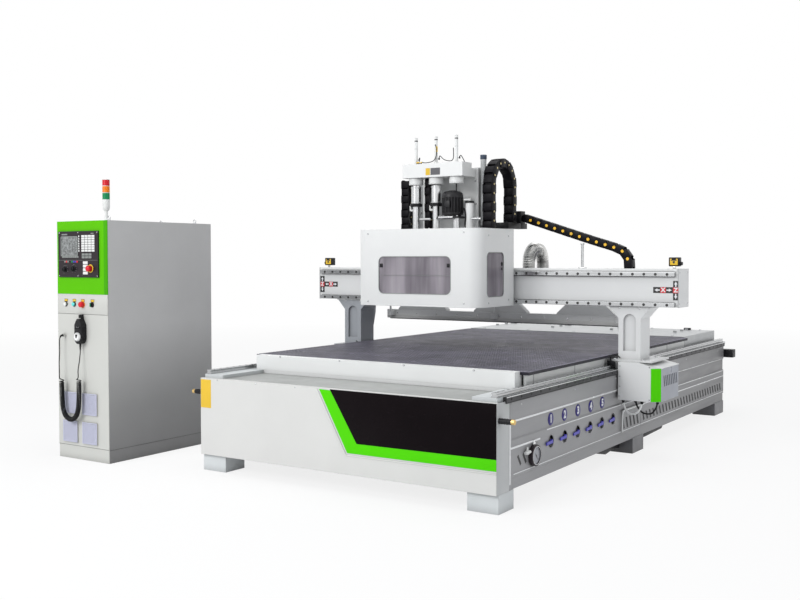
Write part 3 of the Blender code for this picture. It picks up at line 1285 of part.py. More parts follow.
def cabinet_fronts():
    """The green console panel and the lower panel with its grilles, pendant hook and cord gland."""
    depth = (CABINET_FRONT, PANEL_FACE)
    width = (CABINET_LEFT + SEAT, CABINET_RIGHT)
    past = (CABINET_FRONT - 0.05, CABINET_FRONT + 0.05)
    behind = CABINET_FRONT + 0.001
    inset = CONTROLLER_EDGE - 0.002
    opening_x = (CONTROLLER_X[0] + inset, CONTROLLER_X[1] - inset)
    opening_z = (CONTROLLER_Z[0] + inset, CONTROLLER_Z[1] - inset)
    opening = box(opening_x, past, opening_z)
    console = box(width, depth, (CONSOLE_LOW, CABINET_TOP))
    piece("console_panel", [console], GREEN, MACHINE, cuts=[opening])
    shapes = [box(width, depth, (PLINTH_TOP, CONSOLE_LOW - SEAT))]
    for x in GRILLE_COLUMNS:
        for z in GRILLE_ROWS:
            shapes.append(box((x, x + GRILLE), (CABINET_FRONT - GRILLE_PROUD, behind), (z, z + GRILLE)))
    hook_z = (PENDANT_HIGH + SEAT, PENDANT_HIGH + HOOK_HEIGHT)
    shapes.append(box((PENDANT_X - 0.008, PENDANT_X + 0.008), (CABINET_FRONT - 0.03, behind), hook_z))
    shapes.append(rod("Y", (GLAND_X, GLAND_Z), 0.012, (GLAND_END, behind), 12))
    holes = [rod("Y", (x, BUTTON_Z), BUTTON_STEM + SEAT, past, 12) for x in BUTTON_COLUMNS]
    piece("lower_panel", shapes, CABINET_PAINT, MACHINE, cuts=holes)


def controller():
    """Controller: a bezel on the console panel and a body that reaches through it."""
    edge = CONTROLLER_EDGE
    body_x = (CONTROLLER_X[0] + edge, CONTROLLER_X[1] - edge)
    body_z = (CONTROLLER_Z[0] + edge, CONTROLLER_Z[1] - edge)
    bezel = box(CONTROLLER_X, (CABINET_FRONT - CONTROLLER_BEZEL, CABINET_FRONT - SEAT), CONTROLLER_Z)
    body = box(body_x, (CABINET_FRONT - 0.002, CABINET_FRONT + CONTROLLER_DEPTH), body_z)
    bore_depth = (CABINET_FRONT - 0.05, CABINET_FRONT + 0.030)
    bore = rod("Y", (ESTOP_X, ESTOP_Z), BUTTON_STEM + SEAT, bore_depth, 12)
    piece("controller", [bezel, body], BLACK, MACHINE, cuts=[bore])


def press_button(name, x, z, face, radius, reach, finish):
    """A cap standing off its panel by the stroke, on a stem that slides along Y."""
    profile = (
        (0, reach),
        (radius - 0.002, reach),
        (radius, reach - 0.003),
        (radius, BUTTON_STROKE),
        (BUTTON_STEM, BUTTON_STROKE),
        (BUTTON_STEM, -BUTTON_STEM_LENGTH),
        (0, -BUTTON_STEM_LENGTH),
    )
    turned(name, profile, finish, MACHINE, (x, face, z), "Y", steps=12)


def selector_switch():
    """Rotary selector; it turns about its stem, along Y."""
    x = BUTTON_COLUMNS[3]
    face = CABINET_FRONT - SEAT
    shapes = [
        rod("Y", (x, BUTTON_Z), 0.014, (face - 0.010, face), 12),
        rod("Y", (x, BUTTON_Z), BUTTON_STEM, (face - 0.005, face + BUTTON_STEM_LENGTH), 12),
        box((x - 0.004, x + 0.004), (face - 0.022, face - 0.008), (BUTTON_Z - 0.014, BUTTON_Z + 0.014)),
    ]
    piece("selector_switch", shapes, BLACK, MACHINE, pivot=(x, face, BUTTON_Z))


def drive_rack():
    """Mounting plate on the cabinet's right wall, with the axis drives and the spindle inverters."""
    wall = CABINET_RIGHT - SHEET - SEAT
    front = SHELL_FRONT + 0.10
    base = PLINTH_TOP + 0.06
    plate_z = (base, CABINET_TOP - 0.16)
    shapes = [box((wall - 0.010, wall), (front, CABINET_REAR - 0.09), plate_z)]
    for number in range(4):
        y = front + 0.04 + 0.18 * number
        shapes.append(box((wall - 0.16, wall - 0.008), (y, y + 0.12), (base + 1.03, base + 1.27)))
    for number in range(3):
        y = front + 0.04 + 0.24 * number
        shapes.append(box((wall - 0.19, wall - 0.008), (y, y + 0.17), (base + 0.55, base + 0.87)))
    shapes.append(box((wall - 0.14, wall - 0.008), (front + 0.10, front + 0.66), (base + 0.07, base + 0.35)))
    piece("drive_rack", shapes, STEEL, MACHINE)


def tower_light():
    """Signal tower: a foot on the cabinet's roof, a stem and a stack of lamps."""
    stem = TOWER_RADIUS - 0.014
    lamps = TOWER_STEM + TOWER_LAMPS
    profile = (
        (0, lamps + 0.012),
        (TOWER_RADIUS - 0.004, lamps + 0.010),
        (TOWER_RADIUS, lamps + 0.004),
        (TOWER_RADIUS, TOWER_STEM + 0.016),
        (TOWER_RADIUS - 0.006, TOWER_STEM + 0.010),
        (stem, TOWER_STEM),
        (stem, 0.012),
        (TOWER_RADIUS + 0.006, 0.010),
        (TOWER_RADIUS + 0.006, SEAT),
        (0, SEAT),
    )
    turned("tower_light", profile, RED, MACHINE, (TOWER_X, TOWER_Y, CABINET_TOP), steps=16)


def pendant():
    """Hand pendant hung on the lower panel: a slim grip above a wider dial end."""
    face = CABINET_FRONT - SEAT
    right_side = [
        (0.28, PENDANT_LOW),
        (0.72, PENDANT_LOW + 0.012),
        (1.00, PENDANT_LOW + 0.035),
        (1.00, PENDANT_HIGH - 0.042),
        (0.66, PENDANT_HIGH - 0.020),
        (0.28, PENDANT_HIGH),
    ]
    outline = [(PENDANT_X + share * PENDANT_HALF, z) for share, z in right_side]
    outline += [(PENDANT_X - share * PENDANT_HALF, z) for share, z in reversed(right_side)]
    body = prism("Y", outline, (face - PENDANT_DEPTH, face))
    dial = rod("Y", (PENDANT_X, DIAL_Z), DIAL_STEM + SEAT, (face - PENDANT_DEPTH - 0.05, face - 0.025), 20)
    piece("pendant", [body], BLACK, MACHINE, cuts=[dial])


def pendant_wheel():
    """Hand wheel on the pendant's face; it turns about its stem, along Y."""
    face = CABINET_FRONT - PENDANT_DEPTH - 2 * SEAT
    profile = (
        (0, 0.014),
        (DIAL_RADIUS - 0.004, 0.014),
        (DIAL_RADIUS, 0.010),
        (DIAL_RADIUS, 0),
        (DIAL_STEM, 0),
        (DIAL_STEM, -BUTTON_STEM_LENGTH),
        (0, -BUTTON_STEM_LENGTH),
    )
    turned("pendant_wheel", profile, PAINT_WHITE, MACHINE, (PENDANT_X, face, DIAL_Z), "Y", steps=20)


def pendant_cord():
    tube("pendant_lead_upper", smooth_points(UPPER_LEAD, 0.016), CORD_RADIUS, RUBBER, MACHINE)
    tube("pendant_coil", smooth_points(COIL_PATH, 0.05), COIL_RADIUS, RUBBER, MACHINE)
    tube("pendant_lead_lower", smooth_points(LOWER_LEAD, 0.016), CORD_RADIUS, RUBBER, MACHINE)


# ---------------------------------------------------------------- assembly


def footprint_centre(left_out):
    """Middle of the machine's footprint, from every piece except those left out."""
    bpy.context.view_layer.update()
    graph = bpy.context.evaluated_depsgraph_get()
    corners = []
    for obj in PARTS.objects:
        if obj.type == "EMPTY" or obj.name in left_out:
            continue
        evaluated = obj.evaluated_get(graph)
        corners += [evaluated.matrix_world @ Vector(corner) for corner in evaluated.bound_box]
    x = [corner.x for corner in corners]
    y = [corner.y for corner in corners]
    return Vector(((min(x) + max(x)) / 2, (min(y) + max(y)) / 2, 0))


clear_scene()
PARTS = new_collection("cnc_router")
CUTTERS = new_collection("cutters", hidden=True)

PAINT_WHITE = material("white_paint", (0.84, 0.85, 0.84), 0.35)
PAINT_GREY = material("grey_paint", (0.62, 0.64, 0.65), 0.4)
CABINET_PAINT = material("cabinet_paint", (0.72, 0.72, 0.69), 0.45)
GREEN = material("green_paint", (0.13, 0.82, 0.01), 0.35)
BLUE = material("blue_handle", (0.12, 0.13, 0.45), 0.4)
MAT_BLUE = material("mat", (0.08, 0.10, 0.14), 0.7)
BLACK = material("black_plastic", (0.02, 0.02, 0.025), 0.45)
RUBBER = material("cord_rubber", (0.012, 0.012, 0.014), 0.6)
SMOKED = material("smoked_sheet", (0.25, 0.20, 0.30), 0.15)
RED = material("red_plastic", (0.75, 0.03, 0.02), 0.35)
BUTTON_WHITE = material("white_plastic", (0.85, 0.86, 0.86), 0.4)
BUTTON_GREEN = material("green_plastic", (0.02, 0.55, 0.40), 0.4)
STEEL = material("steel", (0.62, 0.63, 0.64), 0.3, 1.0)
ALUMINIUM = material("aluminium", (0.75, 0.76, 0.77), 0.35, 1.0)

MACHINE = empty("machine", (0, 0, 0))
GANTRY = empty("gantry", (0, BEAM_FRONT, RAIL_TOP), MACHINE)
HEAD = empty("head", (HEAD_X, BEAM_FRONT, BEAM_TOP), GANTRY)
Z_GROUP = empty("z_axis", (HEAD_X, Z_PLATE_REAR, SPINDLE_TOP + 0.10), HEAD)
BAR = empty("bar_axis", (0, BAR_ROD_Y, BAR_TOP), GANTRY)
DOOR = empty("door_axis", (HINGE_X, HINGE_Y, PLINTH_TOP), MACHINE)

bed_frame()
front_fascia()
side_panel("side_panel_right", 1, panel_holes())
side_panel("side_panel_left", -1)
table()
rear_shelf()
rails_and_racks()
valve_manifold()
for valve_number, valve_y in enumerate(valve_places(), 1):
    valve_lever(valve_number, valve_y)
vacuum_gauge()

beam()
x_rails()
column("column_right", 1)
column("column_left", -1)
motor_cover("motor_cover_right", 1)
motor_cover("motor_cover_left", -1)
suction_bar()
duct_hose()
x_cable_chain()

x_carriage()
hood()
hood_window()
z_slide()
for spindle_number, spindle_x in enumerate(SPINDLES, 1):
    spindle_group = empty(f"spindle_axis_{spindle_number}", (spindle_x, SPINDLE_Y, SPINDLE_TOP), Z_GROUP)
    spindle(spindle_number, spindle_x, spindle_group, neck_top() if spindle_number == 3 else lifted_top())
    collet(spindle_number, spindle_x, spindle_group)
spindle_motor(spindle_group)
z_cable_chain()

cabinet_shell()
cabinet_door()
door_handle()
cabinet_fronts()
controller()
press_button("estop_button", ESTOP_X, ESTOP_Z, CABINET_FRONT - CONTROLLER_BEZEL, 0.020, 0.030, RED)
press_button("lamp_button", BUTTON_COLUMNS[0], BUTTON_Z, CABINET_FRONT, 0.013, 0.016, BUTTON_WHITE)
press_button("start_button", BUTTON_COLUMNS[1], BUTTON_Z, CABINET_FRONT, 0.013, 0.016, BUTTON_GREEN)
press_button("stop_button", BUTTON_COLUMNS[2], BUTTON_Z, CABINET_FRONT, 0.019, 0.028, RED)
selector_switch()
drive_rack()
tower_light()
pendant()
pendant_wheel()
pendant_cord()

MACHINE.location = -footprint_centre({"pendant_lead_upper", "pendant_coil", "pendant_lead_lower"})
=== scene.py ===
"""Looks of the gantry router: camera, studio, cords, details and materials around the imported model.

Places are given in the bed's own layout, in metres: X = 0 is the bed's middle, Y = 0 the front sheet's
face, Z = 0 the floor. at() turns them into the row frame.
"""

import json
import math
import random

import bmesh
import bpy
from mathutils import Matrix, Vector
from mathutils.bvhtree import BVHTree


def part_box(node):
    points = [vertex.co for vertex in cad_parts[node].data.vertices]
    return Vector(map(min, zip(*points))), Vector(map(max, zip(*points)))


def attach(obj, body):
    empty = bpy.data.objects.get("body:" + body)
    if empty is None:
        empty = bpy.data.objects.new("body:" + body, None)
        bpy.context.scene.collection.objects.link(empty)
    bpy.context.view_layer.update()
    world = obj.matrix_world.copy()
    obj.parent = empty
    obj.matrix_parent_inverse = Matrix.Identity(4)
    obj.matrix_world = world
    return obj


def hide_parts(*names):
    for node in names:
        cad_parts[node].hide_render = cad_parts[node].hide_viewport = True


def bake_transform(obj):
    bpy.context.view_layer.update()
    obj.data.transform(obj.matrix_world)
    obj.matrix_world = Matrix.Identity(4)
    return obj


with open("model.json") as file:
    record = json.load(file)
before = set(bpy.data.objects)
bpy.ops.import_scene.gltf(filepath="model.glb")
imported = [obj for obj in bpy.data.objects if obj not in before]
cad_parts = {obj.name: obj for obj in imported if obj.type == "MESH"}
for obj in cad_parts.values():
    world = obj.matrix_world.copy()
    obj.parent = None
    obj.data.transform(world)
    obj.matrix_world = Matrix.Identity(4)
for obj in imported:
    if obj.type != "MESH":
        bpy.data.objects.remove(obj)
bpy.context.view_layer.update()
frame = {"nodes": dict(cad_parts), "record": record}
NODES = frame["nodes"]
MAT_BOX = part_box("table_mat")
BED = Vector(((MAT_BOX[0].x + MAT_BOX[1].x) / 2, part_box("front_fascia")[0].y, 0))
DICE = random.Random(7)
SCREW_PITCH = 0.08
CHAIN_PITCH = 0.066
HOOD_RIGHT = 0.3
BEAM_FACE = 1.8127
BEAM_END = 1.5105
COVER_SIDE_FACE = 1.4
COVER_FRONT = 1.757
BRIDGE_TOP = 2.09
CABINET_FACE = -0.205
CONTROLLER_FACE = -0.215
SPINDLES = (-0.362, -0.19, -0.018)
BAR_PIPE = (2.1675, 1.17)
PIPE_RADIUS = 0.0515
POST = (0.085, 1.718)
BUTTON_Z = 1.083
STOP_X = -2.015
ESTOP = (-1.92, 1.332)
WHEEL = (-2.016, 0.862)
SIDES = ((1, "right"), (-1, "left"))
SIXTHS = [math.tau * number / 6 for number in range(6)]


def at(point):
    return Vector(point) + BED


# ---------------------------------------------------------------- camera, floor, light

YAW, PITCH, ROLL = 0.580465, 0.028645, -0.001275
EYE = (3.6313, -4.8107, 1.4)
LENS, SHIFT = 45.195, -0.0162
# name, place, aim, size and power of each lamp
LAMPS = (
    ("key", (-2.5, -8.0, 5.5), (-0.3, 1.0, 0.8), (5.0, 4.0), 500),
    ("top", (0.0, 1.5, 7.5), (0.0, 1.8, 0.5), (6.0, 7.0), 210),
    ("side", (8.5, 1.0, 3.2), (0.8, 1.8, 0.6), (4.0, 2.4), 45),
)


def add_object(name, data):
    made = bpy.data.objects.new(name, data)
    bpy.context.scene.collection.objects.link(made)
    return made


def camera():
    forward = Vector((-math.sin(YAW) * math.cos(PITCH), math.cos(YAW) * math.cos(PITCH), -math.sin(PITCH)))
    side = Vector((math.cos(YAW), math.sin(YAW), 0))
    up = side.cross(forward)
    right = math.cos(ROLL) * side + math.sin(ROLL) * up
    top = math.cos(ROLL) * up - math.sin(ROLL) * side
    made = add_object("camera", bpy.data.cameras.new("camera"))
    place = at(EYE)
    rows = [(right[i], top[i], -forward[i], place[i]) for i in range(3)]
    made.matrix_world = Matrix((*rows, (0, 0, 0, 1)))
    made.data.lens = LENS
    made.data.sensor_width = 36
    made.data.shift_y = SHIFT
    made.data.clip_end = 200
    bpy.context.scene.camera = made


def nodes_of(made):
    """Empties the node tree of a material or world, and gives a function that adds a node to it.

    It sets attributes by name and inputs as in_NAME or in_NUMBER, each to a constant, to a node's first
    output, or to an output given as (node, output)."""
    made.use_nodes = True
    tree = made.node_tree
    tree.nodes.clear()

    def add(kind, **values):
        node = tree.nodes.new("ShaderNode" + kind)
        for key, value in values.items():
            if not key.startswith("in_"):
                setattr(node, key, value)
        for key, value in values.items():
            if key.startswith("in_"):
                key = key[3:]
                socket = node.inputs[int(key) if key.isdigit() else key.replace("_", " ")]
                source = value if isinstance(value, tuple) else (value, 0)
                if isinstance(source[0], bpy.types.Node):
                    tree.links.new(source[0].outputs[source[1]], socket)
                else:
                    socket.default_value = value
        return node

    return add


def spread(add, value, from_min, from_max, to_min, to_max):
    """A node that maps one range of a value to another."""
    ends = {"in_From_Min": from_min, "in_From_Max": from_max, "in_To_Min": to_min, "in_To_Max": to_max}
    return add("MapRange", in_Value=value, **ends)


def seen_directly(add):
    """1 for rays that show the background: from the camera, off gloss, or through glass."""
    path = add("LightPath")
    both = add("Math", operation="MAXIMUM", in_0=(path, "Is Camera Ray"), in_1=(path, "Is Glossy Ray"))
    return add("Math", operation="MAXIMUM", in_0=both, in_1=(path, "Is Transmission Ray"))


def studio():
    scene = bpy.context.scene
    scene.view_settings.view_transform = "Standard"
    world = bpy.data.worlds.new("studio")
    scene.world = world
    add = nodes_of(world)
    lit = add("Background", in_Color=(0.95, 0.97, 1.0, 1), in_Strength=0.46)
    seen = add("Background", in_Color=(1, 1, 1, 1), in_Strength=1.0)
    add("OutputWorld", in_0=add("MixShader", in_0=seen_directly(add), in_1=lit, in_2=seen))
    for name, place, aim, size, power in LAMPS:
        lamp = bpy.data.lights.new(name, "AREA")
        lamp.shape = "RECTANGLE"
        lamp.size, lamp.size_y = size
        lamp.energy = power
        made = add_object(name, lamp)
        made.location = at(place)
        made.rotation_euler = (Vector(aim) - Vector(place)).to_track_quat("-Z", "Y").to_euler()


def floor():
    """A pale floor that fades into the white background far from the machine."""
    form = bmesh.new()
    bmesh.ops.create_circle(form, cap_ends=True, radius=60, segments=96)
    made = add_object("floor", mesh_of("floor", form))
    made.location = (0, 0, -0.0005)
    paint = bpy.data.materials.new("floor")
    add = nodes_of(paint)
    pale = add("BsdfDiffuse", in_Color=(0.93, 0.93, 0.935, 1))
    white = add("Emission", in_Color=(1, 1, 1, 1), in_Strength=1.0)
    far = add("VectorMath", operation="LENGTH", in_0=(add("TexCoord"), "Object"))
    fade = spread(add, (far, "Value"), 3.0, 14.0, 0.82, 1.0)
    both = add("Math", operation="MULTIPLY", in_0=fade, in_1=seen_directly(add))
    add("OutputMaterial", in_0=add("MixShader", in_0=both, in_1=pale, in_2=white))
    made.data.materials.append(paint)


# ---------------------------------------------------------------- shapes


def mesh_of(name, form):
    mesh = bpy.data.meshes.new(name)
    form.to_mesh(mesh)
    form.free()
    return mesh


def absorb(form, shape):
    """Adds one shape to another."""
    held = mesh_of("held", shape)
    form.from_mesh(held)
    bpy.data.meshes.remove(held)


def block(x, y, z, round_by=0.0, segments=2):
    shape = bmesh.new()
    bmesh.ops.create_cube(shape, size=1.0)
    low = Vector((min(x), min(y), min(z)))
    high = Vector((max(x), max(y), max(z)))
    bmesh.ops.scale(shape, vec=high - low, verts=shape.verts)
    bmesh.ops.translate(shape, vec=(high + low) / 2, verts=shape.verts)
    return rounded(shape, round_by, segments)


def rounded(shape, by, segments=2, angle=40):
    if by:
        edges = [e for e in shape.edges if e.is_manifold and e.calc_face_angle() > math.radians(angle)]
        bmesh.ops.bevel(
            shape, geom=edges, offset=by, segments=segments, profile=0.5, affect="EDGES", clamp_overlap=True
        )
    return shape


def oriented(axis, a, b, along):
    return Vector({"X": (along, a, b), "Y": (a, along, b), "Z": (a, b, along)}[axis])


def prism(axis, outline, span, round_by=0.0):
    """An outline in the plane across an axis, drawn out along it."""
    shape = bmesh.new()
    face = shape.faces.new([shape.verts.new(oriented(axis, a, b, span[0])) for a, b in outline])
    drawn = bmesh.ops.extrude_face_region(shape, geom=[face])
    moved = [item for item in drawn["geom"] if isinstance(item, bmesh.types.BMVert)]
    bmesh.ops.translate(shape, vec=oriented(axis, 0, 0, span[1] - span[0]), verts=moved)
    bmesh.ops.recalc_face_normals(shape, faces=shape.faces)
    return rounded(shape, round_by)


def lathe(axis, centre, profile, sides=32, base=0.0, close=False):
    """A profile of (radius, height) turned round an axis; heights count from base.

    close ends the profile where it starts, which makes a ring."""
    shape = bmesh.new()
    rings = []
    for radius, height in [*profile, profile[0]] if close else profile:
        if radius <= 1e-6:
            rings.append([shape.verts.new(oriented(axis, *centre, base + height))])
            continue
        ring = []
        for i in range(sides):
            turn = math.tau * i / sides
            a = centre[0] + radius * math.cos(turn)
            b = centre[1] + radius * math.sin(turn)
            ring.append(shape.verts.new(oriented(axis, a, b, base + height)))
        rings.append(ring)
    for first, second in zip(rings, rings[1:]):
        for i in range(sides):
            j = (i + 1) % sides
            corners = (
                first[i % len(first)], first[j % len(first)], second[j % len(second)],
                second[i % len(second)],
            )
            unique = list(dict.fromkeys(corners))
            if len(unique) > 2:
                shape.faces.new(unique)
    bmesh.ops.recalc_face_normals(shape, faces=shape.faces)
    return shape


def flipped(profile):
    """A profile whose heights count the other way, as on a face that looks to -Y."""
    return [(radius, -height) for radius, height in profile]


def rod(axis, centre, radius, span, sides=24):
    """A round bar with softened ends."""
    low, high = min(span), max(span)
    edge = min(radius * 0.2, (high - low) * 0.3, 0.002)
    profile = [(0, low), (radius - edge, low), (radius, low + edge)]
    profile += [(radius, high - edge), (radius - edge, high), (0, high)]
    return lathe(axis, centre, profile, sides)


def smooth_path(points, spacing):
    """Points on a smooth curve through the given ones."""
    knots = [Vector(point) for point in points]
    knots = [knots[0] * 2 - knots[1]] + knots + [knots[-1] * 2 - knots[-2]]
    found = []
    for before, start, end, after in zip(knots, knots[1:], knots[2:], knots[3:]):
        steps = max(1, round((end - start).length / spacing))
        for i in range(steps):
            t = i / steps
            bend = (2 * before - 5 * start + 4 * end - after) * t**2
            turn = (3 * start - before - 3 * end + after) * t**3
            found.append(0.5 * (2 * start + (end - before) * t + bend + turn))
    return found + [knots[-2]]


def frames(points):
    """At each point of a path: the direction, and two directions across it that never twist."""
    ways = []
    for i in range(len(points)):
        ahead = points[min(i + 1, len(points) - 1)] - points[max(i - 1, 0)]
        ways.append(ahead.normalized())
    across = ways[0].orthogonal().normalized()
    found = []
    for way in ways:
        across = (across - way * across.dot(way)).normalized()
        found.append((way, across, way.cross(across)))
    return found


def pipe(points, radius, sides=10):
    """A round pipe along points; radius may be a list with one value for each point."""
    points = [Vector(point) for point in points]
    sizes = radius if isinstance(radius, list) else [radius] * len(points)
    shape = bmesh.new()
    rings = []
    for point, size, (_, across, up) in zip(points, sizes, frames(points)):
        turns = [math.tau * i / sides for i in range(sides)]
        rings.append(
            [shape.verts.new(point + size * (math.cos(t) * across + math.sin(t) * up)) for t in turns]
        )
    for first, second in zip(rings, rings[1:]):
        for i in range(sides):
            j = (i + 1) % sides
            shape.faces.new((first[i], first[j], second[j], second[i]))
    shape.faces.new(rings[0][::-1])
    shape.faces.new(rings[-1])
    bmesh.ops.recalc_face_normals(shape, faces=shape.faces)
    return shape


def rounded_outline(x, z, radius, steps=6):
    """Corners of a rectangle with rounded corners."""
    found = []
    for a, b, quarter in ((x[1], z[1], 0), (x[0], z[1], 1), (x[0], z[0], 2), (x[1], z[0], 3)):
        middle = (a - radius if a == x[1] else a + radius, b - radius if b == z[1] else b + radius)
        for i in range(steps + 1):
            turn = math.pi / 2 * (quarter + i / steps)
            found.append((middle[0] + radius * math.cos(turn), middle[1] + radius * math.sin(turn)))
    return found


def stroke(start, end, half):
    """Corners of a straight stroke in a plane, half a width to each side."""
    start, end = Vector(start), Vector(end)
    along = (end - start).normalized()
    across = Vector((-along.y, along.x)) * half
    return [tuple(corner) for corner in (start + across, start - across, end - across, end + across)]


def ray_stroke(centre, turn, inner, outer, half):
    """A stroke that runs outward from a centre, between two radii."""
    along = Vector((math.cos(turn), math.sin(turn)))
    return stroke(Vector(centre) + along * inner, Vector(centre) + along * outer, half)


def length_of(points):
    return sum((b - a).length for a, b in zip(points, points[1:]))


def piece(name, body, *groups, slot=None, soft=35):
    """One piece made of groups of (material, shapes), riding on a CAD body.

    It works out a slot from its first material unless one is given, but does not keep that slot."""
    form = bmesh.new()
    for number, (_, shapes) in enumerate(groups):
        for shape in shapes:
            for face in shape.faces:
                face.material_index = number
            absorb(form, shape)
    bmesh.ops.translate(form, vec=BED, verts=form.verts)
    made = add_object(name, mesh_of(name, form))
    for used, _ in groups:
        made.data.materials.append(used)
    made.data.shade_smooth()
    made.data.set_sharp_from_angle(angle=math.radians(soft))
    slot = slot or SLOTS.get(groups[0][0])
    if body:
        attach(made, body)
    return made


def letters(name, text, size, places, body):
    """Raised white characters: places holds (point, axis that they face) for each character of text."""
    form = bmesh.new()
    for character, (point, facing) in zip(text, places):
        curve = bpy.data.curves.new(name, "FONT")
        curve.body = character
        curve.size = size
        curve.align_x = "CENTER"
        curve.align_y = "CENTER"
        curve.extrude = 0.0003
        curve.offset = size * 0.045
        held = add_object("held", curve)
        held.rotation_euler = (math.pi / 2, 0, math.pi / 2 if facing == "X" else 0)
        held.location = at(point)
        bpy.context.view_layer.update()
        mesh = bpy.data.meshes.new_from_object(held)
        mesh.transform(held.matrix_world)
        form.from_mesh(mesh)
        bpy.data.objects.remove(held)
        bpy.data.curves.remove(curve)
        bpy.data.meshes.remove(mesh)
    made = add_object(name, mesh_of(name, form))
    made.data.materials.append(WHITE_INK)
    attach(made, body)


TREES = {}


def surface(node, start, direction):
    """Where a straight line from start first meets a CAD node, in the bed's layout."""
    if node not in TREES:
        mesh = NODES[node].data
        TREES[node] = BVHTree.FromPolygons([v.co for v in mesh.vertices], [p.vertices for p in mesh.polygons])
    return TREES[node].ray_cast(at(start), Vector(direction))[0] - BED


def box_of(node):
    low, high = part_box(node)
    return low - BED, high - BED


# ---------------------------------------------------------------- materials


def finish(
    name, colour, rough=0.45, metal=0.0, grain=0.05, grain_size=900.0, mottle=0.04, streak=(1, 1, 1),
    coat=0.0, edge=None, edge_colour=None, corner_shade=0.0, seed=0.0, gleam=0.5, fade=None,
):
    """A worked surface: colour that varies a little, grain, rounded and worn edges, and painted shade in
    corners and between parts.

    streak stretches the texture along one axis, as on ground metal. edge is the width of the wear. seed moves
    the texture. gleam is the specular level. fade (axis, start, end, share) paints shade: it darkens the
    colour to a share at the start of a length of the object and leaves it full from the end on."""
    made = bpy.data.materials.new(name)
    add = nodes_of(made)
    where = (add("TexCoord"), "Object")
    stretched = add("Mapping", in_Vector=where, in_Location=(seed, seed * 0.7, seed * 1.3), in_Scale=streak)
    cloud = add("TexNoise", in_Vector=stretched, in_Scale=2.6, in_Detail=5.0, in_Roughness=0.6)
    tone = spread(add, cloud, 0.3, 0.7, 1 - mottle, 1 + mottle)
    # fade paints shade into the colour: darker along one axis of the object.
    if fade:
        axis, start, end, share = fade
        height = spread(add, (add("SeparateXYZ", in_0=where), axis), start, end, share, 1.0)
        tone = add("Math", operation="MULTIPLY", in_0=height, in_1=tone)
    paint = (add("HueSaturation", in_Value=tone, in_Color=(*colour, 1)), 0)
    # corner_shade darkens the colour towards dark brown where ambient occlusion finds nearby surfaces:
    # painted shade in corners and between parts.
    if corner_shade:
        occlusion = add("AmbientOcclusion", samples=6, only_local=False, in_Distance=0.05)
        dark = spread(add, (occlusion, "AO"), 0.35, 0.95, corner_shade, 0.0)
        paint = (add("Mix", data_type="RGBA", in_Factor=dark, in_6=paint, in_7=(0.09, 0.085, 0.08, 1)), 2)
    normal = {}
    if edge:
        soft = add("Bevel", samples=4, in_Radius=edge)
        dot = add("VectorMath", operation="DOT_PRODUCT", in_0=soft, in_1=(add("NewGeometry"), "Normal"))
        worn = spread(add, (dot, "Value"), 0.97, 0.8, 0.0, 0.75)
        chips = add("TexNoise", in_Vector=where, in_Scale=38.0, in_Detail=6.0)
        spots = spread(add, chips, 0.45, 0.62, 0.15, 1.0)
        both = add("Math", operation="MULTIPLY", in_0=worn, in_1=spots)
        light = edge_colour or tuple(min(1.0, c * 1.12 + 0.03) for c in colour)
        paint = (add("Mix", data_type="RGBA", in_Factor=both, in_6=paint, in_7=(*light, 1)), 2)
        normal = {"in_Normal": soft}
    smear = add("TexNoise", in_Vector=stretched, in_Scale=11.0, in_Detail=4.0)
    gloss = spread(add, smear, 0.3, 0.7, max(0.02, rough - 0.07), min(1.0, rough + 0.07))
    fine = add("TexNoise", in_Vector=stretched, in_Scale=grain_size, in_Detail=2.0)
    bump = add("Bump", in_Strength=grain, in_Distance=0.0006, in_Height=fine, **normal)
    shader = add(
        "BsdfPrincipled", in_Base_Color=paint, in_Metallic=metal, in_Roughness=gloss, in_Normal=bump,
        in_Specular_IOR_Level=gleam, in_Coat_Weight=coat, in_Coat_Roughness=0.12,
    )
    add("OutputMaterial", in_0=shader)
    return made


def ramp(add, value, dark, pale):
    """A node that colours a value from one (value, colour) to another."""
    made = add("ValToRGB", in_0=value)
    for element, (place, colour) in zip(made.color_ramp.elements, (dark, pale)):
        element.position = place
        element.color = (*colour, 1)
    return made


def smoked():
    """Smoky see-through sheet with soft pale and dark streaks painted into its colour, standing for what
    shows behind it.
    """
    made = bpy.data.materials.new("smoked")
    add = nodes_of(made)
    stretched = add("Mapping", in_Vector=(add("TexCoord"), "Object"), in_Scale=(7, 5, 0.8))
    cloud = add("TexNoise", in_Vector=stretched, in_Scale=1.1, in_Detail=3.0)
    # Pale and dark streaks in the colour: painted light and shade.
    painted_sheen = ramp(add, cloud, (0.34, (0.2, 0.18, 0.21)), (0.68, (0.66, 0.62, 0.67)))
    shader = add("BsdfPrincipled", in_Base_Color=painted_sheen, in_Roughness=0.12, in_IOR=1.45)
    clear = add("BsdfTransparent", in_Color=(0.8, 0.76, 0.8, 1))
    add("OutputMaterial", in_0=add("MixShader", in_0=0.66, in_1=clear, in_2=shader))
    return made


WHITE = finish("white_paint", (0.86, 0.87, 0.865), 0.36, mottle=0.02, edge=0.003, corner_shade=0.35)
FASCIA = finish(
    "fascia_paint", (0.685, 0.685, 0.67), 0.4, grain=0.04, mottle=0.02, edge=0.003, corner_shade=0.25, gleam=0.4,
)
GREY = finish("grey_paint", (0.5, 0.515, 0.52), 0.36, edge=0.003, corner_shade=0.45, coat=0.1)
FRAME = finish("frame_paint", (0.66, 0.69, 0.7), 0.42, grain=0.06, edge=0.004, corner_shade=0.4, seed=5)
